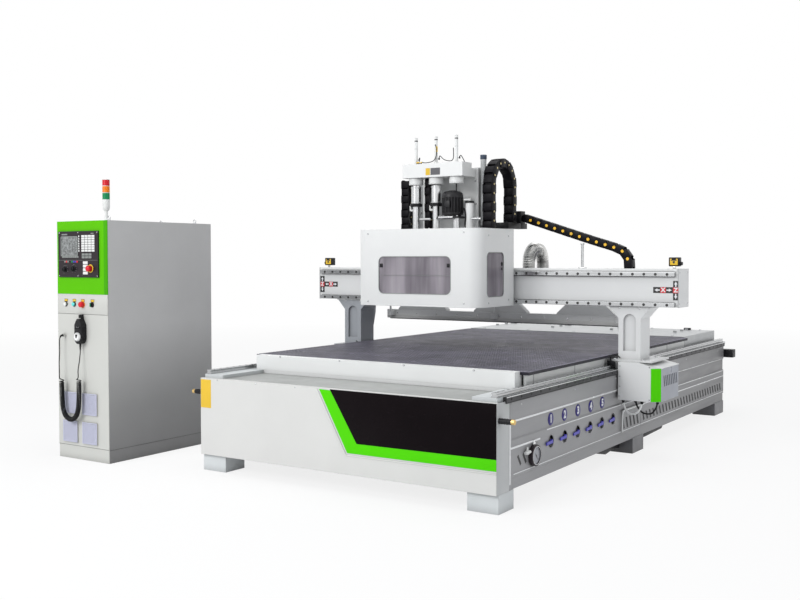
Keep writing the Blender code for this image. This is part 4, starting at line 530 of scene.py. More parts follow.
# Side covers: their grey paint, with painted shade that darkens them towards the rear.
SIDE = finish(
    "side_paint_and_shade", (0.325, 0.325, 0.335), 0.36, grain=0.02, mottle=0.07, streak=(1, 0.25, 2.2), edge=0.003,
    corner_shade=0.45, gleam=0.4, fade=("Y", 2.0, -1.0, 0.6),
)
BEAM = finish("beam_paint", (0.78, 0.79, 0.79), 0.36, grain=0.04, mottle=0.02, edge=0.003, corner_shade=0.35)
CABINET = finish(
    "cabinet_paint", (0.585, 0.59, 0.56), 0.44, grain=0.1, grain_size=650, mottle=0.02, edge=0.003, corner_shade=0.3,
)
# Cabinet shell and door: their paint, with painted shade that darkens it towards the bottom.
CABINET_SIDE_SHADED = finish(
    "cabinet_side_painted_shade", (0.56, 0.56, 0.56), 0.4, grain=0.1, grain_size=650, mottle=0.03, edge=0.003, corner_shade=0.3,
    fade=("Z", 0.0, 0.95, 0.33),
)
GREEN = finish("green_paint", (0.085, 0.68, 0.002), 0.42, mottle=0.03, edge=0.002, corner_shade=0.1, gleam=0.08)
GREEN_CABINET = finish("green_cabinet", (0.105, 0.51, 0.002), 0.42, mottle=0.03, corner_shade=0.2, gleam=0.08)
# Darker copy of the console's green: painted shade on its right edge.
GREEN_SHADE = finish("green_edge_painted_shade", (0.06, 0.38, 0.002), 0.42, mottle=0.03, gleam=0.08)
BLACK_PANEL = finish("black_gloss", (0.005, 0.003, 0.004), 0.25, mottle=0.2, grain=0.015, gleam=0.05)
BLACK = finish(
    "black_plastic", (0.01, 0.01, 0.012), 0.45, grain=0.25, grain_size=1200, mottle=0.12, edge=0.0015,
    edge_colour=(0.06, 0.06, 0.065), gleam=0.25,
)
CAST = finish(
    "black_cast", (0.014, 0.014, 0.016), 0.45, grain=0.45, grain_size=420, mottle=0.15, edge=0.002,
    edge_colour=(0.1, 0.1, 0.11), gleam=0.3,
)
DARK = finish(
    "dark_metal", (0.05, 0.05, 0.055), 0.42, metal=0.8, grain=0.2, grain_size=500, mottle=0.2, corner_shade=0.4,
)
RUBBER = finish(
    "cord_rubber", (0.008, 0.008, 0.009), 0.48, grain=0.2, grain_size=1500, mottle=0.15, gleam=0.25,
)
MAT = finish(
    "mat_blue", (0.006, 0.006, 0.014), 0.42, grain=0.35, grain_size=700, mottle=0.45, seed=2, gleam=0.3,
)
# Lighter than the mat's tops: painted highlight along the cells' edges, with painted shade in corners.
GROOVE_SHEEN = finish(
    "mat_groove_painted_sheen", (0.25, 0.24, 0.3), 0.5, grain=0.2, grain_size=500, mottle=0.35, corner_shade=0.3, gleam=0.3,
)
PORT = finish("mat_port", (0.016, 0.015, 0.024), 0.55, grain=0.3, grain_size=600, mottle=0.3, gleam=0.3)
STEEL = finish(
    "steel", (0.6, 0.61, 0.62), 0.26, metal=1.0, grain=0.1, grain_size=60, mottle=0.06, streak=(8, 8, 0.5),
    edge=0.001,
)
RAIL = finish(
    "rail_steel", (0.52, 0.53, 0.54), 0.22, metal=1.0, grain=0.1, grain_size=90, mottle=0.1,
    streak=(1, 0.2, 9), corner_shade=0.3,
)
CHROME = finish("chrome", (0.75, 0.76, 0.77), 0.12, metal=1.0, grain=0.03, grain_size=300)
FOIL = finish(
    "aluminium_foil", (0.72, 0.72, 0.71), 0.26, metal=1.0, grain=1.0, grain_size=60, mottle=0.35, corner_shade=0.6,
)
BRASS = finish("brass", (0.72, 0.5, 0.2), 0.28, metal=1.0, grain=0.1, grain_size=200, mottle=0.08)
BLUE_LEVER = finish(
    "blue_handle", (0.065, 0.055, 0.5), 0.35, grain=0.15, grain_size=900, mottle=0.1, edge=0.001,
)
BLUE_DISC = finish("disc_blue", (0.022, 0.014, 0.17), 0.3, mottle=0.06, gleam=0.25)
WHITE_INK = finish("white_ink", (0.85, 0.86, 0.88), 0.45, mottle=0.02)
RED_INK = finish("red_ink", (0.72, 0.02, 0.03), 0.4, mottle=0.03)
CHAIN_BLACK = finish(
    "chain_black", (0.0055, 0.005, 0.007), 0.42, grain=0.15, grain_size=900, mottle=0.1, edge=0.001,
    edge_colour=(0.05, 0.05, 0.055), gleam=0.1,
)
# Dark grey for the middle and rear feet: painted shade on the frame's paint.
FOOT_SHADE = finish("foot_painted_shade", (0.17, 0.17, 0.18), 0.42, grain=0.06, mottle=0.1, edge=0.003, corner_shade=0.5)
BLACK_INK = finish("black_ink", (0.02, 0.02, 0.02), 0.45, mottle=0.05)
DOT_YELLOW = finish("dot_yellow", (0.95, 0.55, 0.02), 0.4)
YELLOW = finish("yellow_plastic", (0.85, 0.55, 0.03), 0.42, grain=0.08)
CREAM = finish("cream_plastic", (0.8, 0.66, 0.32), 0.4, grain=0.08, mottle=0.05)
RED = finish("red_plastic", (0.66, 0.008, 0.02), 0.28, grain=0.04, mottle=0.05, gleam=0.35)
ORANGE = finish("orange_lens", (0.88, 0.22, 0.01), 0.28, grain=0.04, mottle=0.05, gleam=0.3)
GREEN_LENS = finish("green_lens", (0.0, 0.24, 0.08), 0.28, grain=0.04, mottle=0.05, gleam=0.3)
CYAN = finish("cyan_button", (0.1, 0.72, 0.7), 0.22, grain=0.03, coat=0.4)
KEY_WHITE = finish("key_white", (0.78, 0.79, 0.78), 0.4, grain=0.08, mottle=0.03)
KEY_GREY = finish("key_grey", (0.24, 0.26, 0.25), 0.45, grain=0.08, mottle=0.05)
BEZEL = finish(
    "bezel", (0.02, 0.014, 0.018), 0.38, grain=0.12, mottle=0.1, edge=0.001, edge_colour=(0.08, 0.07, 0.08),
    gleam=0.25,
)
LAVENDER = finish("grille_plastic", (0.52, 0.53, 0.66), 0.45, grain=0.08)
LABEL = finish("plain_label", (0.8, 0.52, 0.03), 0.5, grain=0.06, mottle=0.05)
LABEL_DARK = finish("plain_label_dark", (0.1, 0.1, 0.11), 0.45, grain=0.06, mottle=0.05)
BLUE_CAP = finish("blue_cap", (0.05, 0.075, 0.12), 0.35, grain=0.1, mottle=0.08)
SMOKED = smoked()
PLENUM = finish("plenum_paint", (0.8, 0.81, 0.8), 0.38, mottle=0.03, edge=0.003)
# Bright glossy paint on the fold beads: painted highlights.
FOLD_HIGHLIGHT = finish("fold_painted_highlight", (0.86, 0.87, 0.88), 0.25, grain=0.03, mottle=0.1, streak=(1, 0.3, 1), gleam=0.8)
# Grey for the deck: painted shadow under the slab, darkened further in corners.
DECK_SHADE = finish("deck_painted_shadow", (0.35, 0.36, 0.35), 0.4, mottle=0.12, edge=0.003, corner_shade=0.6)
# A darker copy of the columns' white, for the left column only: painted shade.
COLUMN_SHADE = finish("column_left_painted_shade", (0.37, 0.39, 0.42), 0.38, mottle=0.03, edge=0.003, corner_shade=0.35)
# Blue-grey for the motor covers' outer sides: painted shade on white paint.
COVER_SIDE_SHADE = finish("cover_side_painted_shade", (0.33, 0.35, 0.4), 0.34, grain=0.04, mottle=0.05, edge=0.003)
DIAL = finish("dial_face", (0.36, 0.37, 0.4), 0.35, grain=0.03, mottle=0.05)


def screen():
    """A switched-off display: dark, with a pale sheen painted into its colour that varies."""
    made = bpy.data.materials.new("screen")
    add = nodes_of(made)
    cloud = add(
        "TexNoise", in_Vector=(add("TexCoord"), "Object"), in_Scale=52.0, in_Detail=6.0, in_Roughness=0.8,
    )
    # Pale patches in the base colour: painted sheen.
    painted_sheen = ramp(add, cloud, (0.35, (0.035, 0.038, 0.038)), (0.65, (0.36, 0.38, 0.38)))
    add("OutputMaterial", in_0=add("BsdfPrincipled", in_Base_Color=painted_sheen, in_Roughness=0.28))
    return made


SCREEN = screen()

# the slot of a piece whose first material is one of these
SLOT_FINISHES = {
    "cord_rubber": (RUBBER,),
    "green_paint": (GREEN, GREEN_SHADE),
    "black_plastic": (BLACK_PANEL, BLACK_INK, BLACK, KEY_GREY),
    "white_paint": (FASCIA, WHITE, BEAM),
    "grey_paint": (DECK_SHADE, FOOT_SHADE, SIDE, FOLD_HIGHLIGHT, GREY),
    "steel": (STEEL, BEZEL, KEY_WHITE, RAIL, DARK),
    "mat_blue": (BLUE_DISC, BLUE_CAP),
    "white_plastic": (DIAL, LAVENDER),
    "aluminium": (FOIL,),
    "cabinet_paint": (CABINET,),
    "red_plastic": (RED,),
    "green_plastic": (GREEN_LENS,),
}
SLOTS = {made: slot for slot, finishes in SLOT_FINISHES.items() for made in finishes}

NODE_FINISH = {
    WHITE: "table_front_beam hood z_slide pendant_wheel suction_bar",
    FASCIA: "front_fascia",
    FRAME: "bed_frame",
    SIDE: "side_panel_right side_panel_left",
    GREY: "rear_shelf x_carriage",
    PLENUM: "vacuum_table",
    BEAM: "gantry_beam column_right motor_cover_right motor_cover_left",
    COLUMN_SHADE: "column_left",
    STEEL: "spindle_1 spindle_2 spindle_3 collet_1 collet_2 collet_3 drive_rack",
    DARK: "valve_manifold",
    BLUE_LEVER: "valve_lever_1 valve_lever_2 valve_lever_3 valve_lever_4 valve_lever_5 valve_lever_6",
    BLACK: "door_handle selector_switch pendant",
    BEZEL: "controller",
    CAST: "spindle_motor",
    SMOKED: "hood_window",
    CABINET: "lower_panel",
    CABINET_SIDE_SHADED: "cabinet_shell cabinet_door",
    GREEN_CABINET: "console_panel",
    RED: "estop_button stop_button",
    KEY_WHITE: "lamp_button",
    CYAN: "start_button",
}


def smooth_group():
    """Geometry nodes that close a CAD mesh's split corners and smooth it across gentle angles."""
    group = bpy.data.node_groups.new("smooth", "GeometryNodeTree")
    group.interface.new_socket("Geometry", in_out="INPUT", socket_type="NodeSocketGeometry")
    group.interface.new_socket("Geometry", in_out="OUTPUT", socket_type="NodeSocketGeometry")
    add = group.nodes.new
    start, end = add("NodeGroupInput"), add("NodeGroupOutput")
    weld = add("GeometryNodeMergeByDistance")
    weld.inputs["Distance"].default_value = 0.00001
    faces = add("GeometryNodeSetShadeSmooth")
    edges = add("GeometryNodeSetShadeSmooth")
    edges.domain = "EDGE"
    angle = add("GeometryNodeInputMeshEdgeAngle")
    gentle = add("FunctionNodeCompare")
    gentle.operation = "LESS_THAN"
    gentle.inputs[1].default_value = math.radians(32)
    group.links.new(start.outputs[0], weld.inputs[0])
    group.links.new(weld.outputs[0], faces.inputs[0])
    group.links.new(faces.outputs[0], edges.inputs[0])
    group.links.new(angle.outputs[0], gentle.inputs[0])
    group.links.new(gentle.outputs[0], edges.inputs["Shade Smooth"])
    group.links.new(edges.outputs[0], end.inputs[0])
    return group


def dress_nodes():
    """Gives the plain CAD nodes their material and smooth shading."""
    group = smooth_group()
    for made, names in NODE_FINISH.items():
        for name in names.split():
            obj = NODES[name]
            obj.data.materials.clear()
            obj.data.materials.append(made)
            obj.modifiers.new("smooth", "NODES").node_group = group


# ---------------------------------------------------------------- the pendant's cord


CORD_RADIUS = 0.0035
COIL_OUTER = 0.0175
UPPER_LEAD = (
    (-2.205, -0.2257, 0.863), (-2.205, -0.233, 0.863), (-2.2055, -0.243, 0.859), (-2.2065, -0.251, 0.842),
    (-2.2075, -0.253, 0.8), (-2.208, -0.252, 0.755), (-2.208, -0.2505, 0.7), (-2.208, -0.25, 0.64),
    (-2.208, -0.25, 0.5763),
)
COIL_PATH = (
    (-2.194, -0.25, 0.576), (-2.191, -0.25, 0.5), (-2.188, -0.25, 0.43), (-2.181, -0.25, 0.365),
    (-2.162, -0.25, 0.318), (-2.132, -0.25, 0.292), (-2.099, -0.25, 0.284), (-2.066, -0.25, 0.292),
    (-2.037, -0.25, 0.318), (-2.019, -0.25, 0.365), (-2.012, -0.25, 0.43), (-2.01, -0.25, 0.5),
    (-2.011, -0.25, 0.586),
)
LOWER_LEAD = (
    (-2.011, -0.25, 0.6), (-2.013, -0.248, 0.64), (-2.011, -0.243, 0.695), (-2.01, -0.237, 0.745),
    (-2.014, -0.232, 0.78), (-2.016, -0.23, 0.8), (-2.016, -0.23, 0.8117),
)
TURN_PITCH = 0.0082
TURN_POINTS = 14
TURN_OPENING = 0.06
COIL_STEP = 0.001


def even_points(points, spacing):
    """Points at an even spacing along a smooth curve through the given ones."""
    dense = smooth_path(points, 0.001)
    total = length_of(dense)
    count = max(2, round(total / spacing))
    found, walked, index = [dense[0]], 0.0, 0
    for number in range(1, count):
        goal = total * number / count
        while walked + (dense[index + 1] - dense[index]).length < goal:
            walked += (dense[index + 1] - dense[index]).length
            index += 1
        share = (goal - walked) / (dense[index + 1] - dense[index]).length
        found.append(dense[index].lerp(dense[index + 1], share))
    return found + [dense[-1]]


def coil_points():
    """The spiral round its centre line; the turns open out at both ends, where the leads run into it."""
    line = even_points(COIL_PATH, COIL_STEP)
    ways = frames(line)
    total = (len(line) - 1) * COIL_STEP
    radius = COIL_OUTER - CORD_RADIUS
    found, along, turn = [], 0.0, 0.0
    while along < total:
        number = min(int(along / COIL_STEP), len(line) - 2)
        point = line[number].lerp(line[number + 1], along / COIL_STEP - number)
        _, across, up = ways[number]
        found.append(point + radius * (math.cos(turn) * across + math.sin(turn) * up))
        share = min(1, along / TURN_OPENING, (total - along) / TURN_OPENING)
        rate = math.tau / TURN_PITCH * (3 * share**2 - 2 * share**3)
        step = min(0.002, math.tau / TURN_POINTS / max(rate, 1))
        along += step
        turn += rate * step
    return found


def pendant_cord():
    """Spiral cord: a lead from the gland, the coil that hangs as a loop, and a lead to the pendant."""
    coil = coil_points()
    first = [coil[0] + Vector((0, 0, lift)) for lift in (0.1, 0.06, 0.02)]
    last = [coil[-1] + Vector((0, 0, lift)) for lift in (0.015, 0.05)]
    upper = [*UPPER_LEAD[:-3], *first, coil[0]]
    lower = [coil[-1], *last, *LOWER_LEAD[2:]]
    route = smooth_path(upper, 0.012)[:-1] + coil + smooth_path(lower, 0.012)[1:]
    curve = bpy.data.curves.new("pendant_cord", "CURVE")
    curve.dimensions = "3D"
    curve.bevel_depth = CORD_RADIUS
    curve.bevel_resolution = 3
    curve.use_fill_caps = True
    spline = curve.splines.new("POLY")
    spline.points.add(len(route) - 1)
    for point, place in zip(spline.points, route):
        point.co = (*at(place), 1)
    spline.use_smooth = True
    made = add_object("pendant_cord", curve)
    curve.materials.append(RUBBER)
    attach(made, "base")
    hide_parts("pendant_lead_upper", "pendant_coil", "pendant_lead_lower")
    at(UPPER_LEAD[0])
    length_of(route)


def sleeve(name, points, wide, narrow):
    """Tapered, ribbed strain relief along a line of points."""
    path = even_points(points, 0.0012)
    sizes = []
    for number in range(len(path)):
        share = number / (len(path) - 1)
        rib = 0.0005 if number % 3 == 0 and 0.05 < share < 0.9 else 0.0
        sizes.append(wide + (narrow - wide) * share + rib)
    piece(name, "base", (RUBBER, [pipe(path, sizes, 16)]))


# ---------------------------------------------------------------- bed


def screws(axis, face, places, radius=0.006, proud=0.003, sink=0.001):
    """Socket cap screws on a face across an axis; proud counts along the axis, sign included."""
    made = []
    toward = 1 if proud > 0 else -1
    tall = abs(proud)
    for centre in places:
        profile = [
            (0, -sink), (radius, -sink), (radius, tall * 0.7), (radius * 0.82, tall), (radius * 0.5, tall),
            (radius * 0.45, tall * 0.35), (0, tall * 0.35),
        ]
        made.append(lathe(axis, centre, [(r, toward * h) for r, h in profile], 12, face))
    return made


def fascia():
    """Black panel with its green trim, ridge, label and screws of the front sheet, and a grey skin on its
    deck: painted shadow under the table's slab.
    """
    proud = (-0.0025, 0.0005)
    ring = [(-0.111, 0.6075), (0.099, 0.239), (1.0995, 0.242), (1.0995, 0.306), (0.168, 0.3), (-0.026, 0.605)]
    piece("fascia_trim", "base", (GREEN, [prism("Y", ring, proud, 0.0006)]))
    panel = [(-0.026, 0.605), (0.168, 0.3), (1.0995, 0.306), (1.0995, 0.6115), (-0.03, 0.6115)]
    piece("fascia_panel", "base", (BLACK_PANEL, [prism("Y", panel, (-0.0015, 0.0005), 0.0004)]))
    ridge = [(-0.14, 0.6095), (0.0815, 0.221), (0.0965, 0.221), (-0.125, 0.6095)]
    foot = [(0.0815, 0.221), (1.0995, 0.224), (1.0995, 0.2315), (0.0855, 0.2295)]
    shapes = [prism("Y", ridge, (-0.005, 0.0005), 0.002), prism("Y", foot, (-0.004, 0.0005), 0.0015)]
    piece("fascia_ridge", "base", (FASCIA, shapes))
    corner = block((-1.0985, -1.008), (-0.0008, 0.0003), (0.418, 0.604), 0.0003)
    piece("corner_label", "base", (LABEL, [corner]))
    # A grey skin over the white deck: painted shadow under the table's slab.
    top = surface("front_fascia", (0.0, 0.3, 1.0), (0, 0, -1)).z
    deck = block((-0.941, 0.941), (0.05, 0.594), (top - 0.0004, top + 0.001), 0.0004)
    piece("deck_shadow_skin", "base", (DECK_SHADE, [deck]))
    places = [(x, 0.6045) for x in (-0.95, -0.62, -0.3)]
    piece("fascia_screws", "base", (STEEL, screws("Y", 0.0, places, 0.005, -0.002)))


def bumpers():
    """Rubber sleeves with rings and a brass tip on the front bumpers, and covers on the rear stops."""
    place = (0.03, 0.515)
    for side, name in SIDES:
        grip = rod("X", place, 0.0155, (side * 1.0995, side * 1.176), 28)
        rings = [
            rod("X", place, 0.0172, (side * x, side * (x + 0.004)), 28)
            for x in (1.1, 1.116, 1.132, 1.148)
        ]
        tip = rod("X", place, 0.0148, (side * 1.175, side * 1.197), 28)
        piece(f"bumper_{name}", "base", (BLACK, [grip] + rings), (BRASS, [tip]))
        stop = block((side * 1.049, side * 1.171), (4.449, 4.531), (0.494, 0.566), 0.004)
        lip = block((side * 1.1, side * 1.14), (4.448, 4.46), (0.51, 0.55), 0.003)
        piece(f"rear_stop_{name}", "base", (BLACK, [stop, lip]))


def side_face(y, z):
    return surface("side_panel_right", (1.3, y, z), (-1, 0, 0)).x


def side_details():
    """Number discs on the right, and slots, louvres, seams, fold beads painted bright as highlights, skins
    and screws of the side covers.
    """
    discs, places = [], []
    for y in (0.709, 0.911, 1.117, 1.327, 1.522):
        x = side_face(y, 0.434)
        profile = [(0, -0.001), (0.039, -0.001), (0.039, 0.0018), (0.037, 0.0028), (0, 0.0028)]
        discs.append(lathe("X", (y, 0.434), profile, 40, x))
        places.append(((x + 0.003, y, 0.434), "X"))
    piece("number_discs", "base", (BLUE_DISC, discs))
    letters("numbers", "12345", 0.064, places, "base")

    slots = []
    for start, end in (((0.255, 0.288), (0.293, 0.232)), ((0.322, 0.288), (0.36, 0.232))):
        slots.append(prism("X", stroke(start, end, 0.009), (1.0995, 1.1006)))
    piece("drain_slots", "base", (BLACK_INK, slots))

    for side, name in SIDES:
        hoods, holes = [], []
        for number in range(5):
            add_louvre(hoods, holes, 1.895 + 0.07 * number, side, 0.205, 0.282)
        for number in range(28):
            add_louvre(hoods, holes, 2.3 + 0.0735 * number, side, 0.212, 0.276)
        groups = [(SIDE, hoods), (BLACK_INK, holes)]
        piece(f"side_louvres_{name}", "base", *groups, slot="grey_paint")
        seams = []
        for y, low, high in ((1.856, 0.19, 0.33), (2.245, 0.18, 0.384), (2.245, 0.488, 0.598)):
            seams.append(block((side * 1.0995, side * 1.1004), (y - 0.002, y + 0.002), (low, high)))
        piece(f"side_seams_{name}", "base", (BLACK_INK, seams))
        # Raised beads along the folds, coloured bright: painted highlights where light catches the folds.
        highlight_beads = []
        for y, z in FOLD_HIGHLIGHTS:
            highlight_beads.append(block((side * 1.0985, side * 1.1032), y, z, 0.0022, 3))
        piece(f"side_fold_highlights_{name}", "base", (FOLD_HIGHLIGHT, highlight_beads))
        corner = block((side * 1.0994, side * 1.1016), (0.0015, 0.15), (0.1085, 0.6125), 0.001)
        inner = block((side * 1.0994, side * 1.101), (0.15, 0.1795), (0.1085, 0.6125), 0.001)
        piece(f"corner_skin_{name}", "base", (GREY, [corner]), (SIDE, [inner]))
        places = [(y, 0.575) for y in (0.3, 1.05, 1.75, 2.5, 3.3, 4.2)]
        piece(f"side_screws_{name}", "base", (STEEL, screws("X", side * 1.1, places, 0.006, side * 0.003)))


# Spans (y, z) of the painted highlights along the side covers' folds.
FOLD_HIGHLIGHTS = (
    ((0.15, 0.164), (0.14, 0.478)),
    ((0.164, 0.545), (0.335, 0.347)),
    ((0.64, 1.85), (0.3765, 0.3835)),
    ((1.862, 4.39), (0.3765, 0.3835)),
    ((0.185, 1.79), (0.4845, 0.496)),
    ((1.79, 4.39), (0.4865, 0.492)),
    ((1.862, 4.39), (0.328, 0.337)),
    ((0.2, 4.39), (0.1885, 0.194)),
)


def add_louvre(hoods, holes, y, side, low, high):
    """One pressed louvre: a slanted slot with its raised lip."""
    lean = -0.026
    slot = [(y, low), (y + 0.017, low), (y + 0.017 + lean, high), (y + lean, high)]
    holes.append(prism("X", slot, sorted((side * 1.0994, side * 1.1006))))
    lip = [
        (y + 0.016, low + 0.002), (y + 0.029, low + 0.005), (y + 0.029 + lean, high - 0.005),
        (y + 0.016 + lean, high - 0.002),
    ]
    hoods.append(prism("X", lip, sorted((side * 1.0994, side * 1.1046)), 0.0015))


def gauge():
    """Dial face under glass, with its scale and needle, and the knuckle of the fitting behind the bezel."""
    face, centre = 1.1203, Vector((0.45, 0.26))
    dial = lathe("X", centre, [(0, 0), (0.051, 0), (0.051, 0.0004), (0, 0.0004)], 48, face)
    marks = []
    for number in range(31):
        turn = math.radians(225 - 9 * number)
        long = number % 5 == 0
        mark = ray_stroke(centre, turn, 0.034 if long else 0.038, 0.044, 0.0009 if long else 0.0005)
        marks.append(prism("X", mark, (face + 0.0003, face + 0.0007)))
    needle = [(-0.012, 0.014), (0.004, 0.003), (0.027, -0.031), (-0.004, -0.003)]
    marks.append(
        prism("X", [tuple(centre + Vector(corner)) for corner in needle], (face + 0.0008, face + 0.0014))
    )
    marks.append(rod("X", centre, 0.0045, (face, face + 0.0022), 20))
    rim = [
        (0.0505, 0), (0.0505, 0.0045), (0.0525, 0.007), (0.0595, 0.007), (0.063, 0.004), (0.063, -0.018),
        (0.0505, -0.018),
    ]
    ring = lathe("X", centre, rim, 56, face, close=True)
    lip = [(0.0509, 0.0066), (0.0509, 0.0078), (0.0535, 0.0078), (0.0535, 0.0066)]
    piece("gauge_dial", "base", (DIAL, [dial]), (BLACK_INK, marks))
    piece("gauge_rim", "base", (BEZEL, [ring]), (CHROME, [lathe("X", centre, lip, 56, face, close=True)]))
    stem = [
        block((1.1, 1.112), (0.438, 0.462), (0.318, 0.335), 0.002),
        rod("Z", (1.106, 0.45), 0.006, (0.333, 0.348), 16),
    ]
    tee = rod("Y", (1.113, 0.291), 0.009, (0.325, 0.388), 16)
    nut = prism(
        "Y", [(1.113 + 0.013 * math.cos(t), 0.291 + 0.013 * math.sin(t)) for t in SIXTHS], (0.343, 0.36),
    )
    rise = rod("Z", (1.113, 0.3515), 0.006, (0.299, 0.322), 16)
    piece("gauge_fitting", "base", (KEY_WHITE, [tee, nut, rise]), (CHROME, stem))


def floor_details():
    """Painted shade round the middle and rear feet, and the black trays seen under the bed between them."""
    # Dark skins over the middle and rear feet, the same frame as the pale front feet: painted shade.
    feet = []
    for side in (1, -1):
        for y in ((2.08, 2.3), (4.13, 4.397)):
            wide = sorted((side * 0.9036, side * 1.1004))
            feet.append(block(wide, (y[0] - 0.0004, y[1] + 0.0004), (0.0004, 0.1079)))
    piece("feet_shade_skin", "base", (FOOT_SHADE, feet))
    rear = [(2.32, 0.112), (2.32, 0.044), (2.6, 0.036), (2.98, 0.046), (3.06, 0.112)]
    front = [(1.6, 0.112), (1.65, 0.06), (1.8, 0.03), (1.93, 0.044), (2.06, 0.034), (2.06, 0.112)]
    trays = [prism("X", outline, (0.88, 1.01), 0.004) for outline in (front, rear)]
    piece("under_trays", "base", (BLACK, trays))
    line = [
        (1.1125, 2.265, 0.337), (1.1125, 1.9, 0.338), (1.1125, 1.852, 0.326), (1.1125, 1.842, 0.29),
        (1.1125, 1.842, 0.19),
    ]
    piece("side_conduit", "base", (WHITE, [pipe(smooth_path(line, 0.01), 0.0065, 14)]), slot="white_plastic")


def valve_details():
    """Rims round the valves' holes in the side cover."""
    rings = []
    for number in range(6):
        y = 0.698 + 0.2 * number
        rim = [(0.0372, -0.002), (0.0372, 0.0012), (0.0385, 0.0024), (0.0405, 0.0014), (0.0408, -0.002)]
        rings.append(lathe("X", (y, 0.302), rim, 36, 1.1, close=True))
    piece("valve_rims", "base", (SIDE, rings))


def table_mat():
    """Rubber mat pressed into raised square cells, with a port in every sixth cell both ways; the grooves and
    cell walls are painted lighter than the tops, as a highlight along the cell edges.
    """
    low, high = box_of("table_mat")
    pitch, groove, depth = 0.036, 0.01, 0.003
    xs, ys = [low.x], [low.y]
    for lines, start, end in ((xs, low.x, high.x), (ys, low.y, high.y)):
        count = int((end - start - 0.008) / pitch)
        first = (start + end - count * pitch) / 2
        for number in range(count):
            lines.append(first + number * pitch + groove / 2)
            lines.append(first + (number + 1) * pitch - groove / 2)
        lines.append(end)
    verts, faces, tones = [], [], []
    columns, rows = len(xs) - 1, len(ys) - 1

    def quad(a, b, c, d, tone):
        start = len(verts)
        verts.extend((a, b, c, d))
        faces.append((start, start + 1, start + 2, start + 3))
        tones.append(tone)

    for i in range(columns):
        for j in range(rows):
            x0, x1, y0, y1 = xs[i], xs[i + 1], ys[j], ys[j + 1]
            cell = i % 2 == 1 and j % 2 == 1
            port = cell and (i // 2) % 6 == 3 and (j // 2) % 6 == 3
            top = high.z if cell and not port else high.z - depth
            # tone 2, the grooves and cell walls, takes the lighter colour: painted highlight.
            tone = 1 if port else 0 if cell else 2
            quad((x0, y0, top), (x1, y0, top), (x1, y1, top), (x0, y1, top), tone)
            if top == high.z:
                base = high.z - depth
                inset = 0.0012
                corners = [(x0, y0), (x1, y0), (x1, y1), (x0, y1)]
                outer = [
                    (x0 - inset, y0 - inset), (x1 + inset, y0 - inset), (x1 + inset, y1 + inset),
                    (x0 - inset, y1 + inset),
                ]
                for k in range(4):
                    m = (k + 1) % 4
                    quad((*outer[k], base), (*outer[m], base), (*corners[m], top), (*corners[k], top), 2)
    base = high.z - depth
    edge = [(low.x, low.y), (high.x, low.y), (high.x, high.y), (low.x, high.y)]
    for k in range(4):
        a, b = edge[k], edge[(k + 1) % 4]
        quad((*a, low.z), (*b, low.z), (*b, base), (*a, base), 1)
    quad(*[(*corner, low.z) for corner in reversed(edge)], 1)
    mesh = bpy.data.meshes.new("vacuum_mat")
    mesh.from_pydata([at(v) for v in verts], [], faces)
    for made in (MAT, PORT, GROOVE_SHEEN):
        mesh.materials.append(made)
    mesh.polygons.foreach_set("material_index", tones)
    mesh.update()
    made = add_object("vacuum_mat", mesh)
    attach(made, "base")
    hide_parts("table_mat")


def table_details():
    """Screws of the table's front beam, joints of the table, and bolts and stops of the rear shelf."""
    front = box_of("table_front_beam")[0].y
    heads = screws("Y", front, [(x, 0.7325) for x in (-0.78, -0.28, 0.22, 0.72)], 0.0065, -0.004)
    piece("table_beam_screws", "base", (STEEL, heads))
    gaps = [block(sorted((side * 0.9925, side * 1.004)), (0.5185, 0.521), (0.64, 0.712)) for side in (1, -1)]
    piece("table_gaps", "base", (BLACK_INK, gaps))
    for side, name in SIDES:
        strips = []
        for number in range(5):
            y = 0.62 + number * 0.61
            strips.append(block((side * 1.0195, side * 1.0225), (y, y + 0.0035), (0.64, 0.711), 0.0008))
        low = block((side * 1.0198, side * 1.0245), (0.524, 3.498), (0.641, 0.652), 0.0015)
        piece(f"table_joints_{name}", "base", (GREY, strips + [low]))
    bolts = [(x, y) for x in (-0.9, -0.45, 0.0, 0.45, 0.9) for y in (3.56, 4.35)]
    top = surface("rear_shelf", (0.5, 3.7, 1.0), (0, 0, -1)).z
    piece("shelf_bolts", "base", (STEEL, screws("Z", top, bolts, 0.011, 0.007)))
    pads = []
    for x in (-0.98, -0.39, 0.2, 0.79):
        pads.append(block((x - 0.03, x + 0.03), (4.315, 4.345), (top - 0.001, top + 0.018), 0.003))
    piece("shelf_stops", "base", (BLACK, pads))


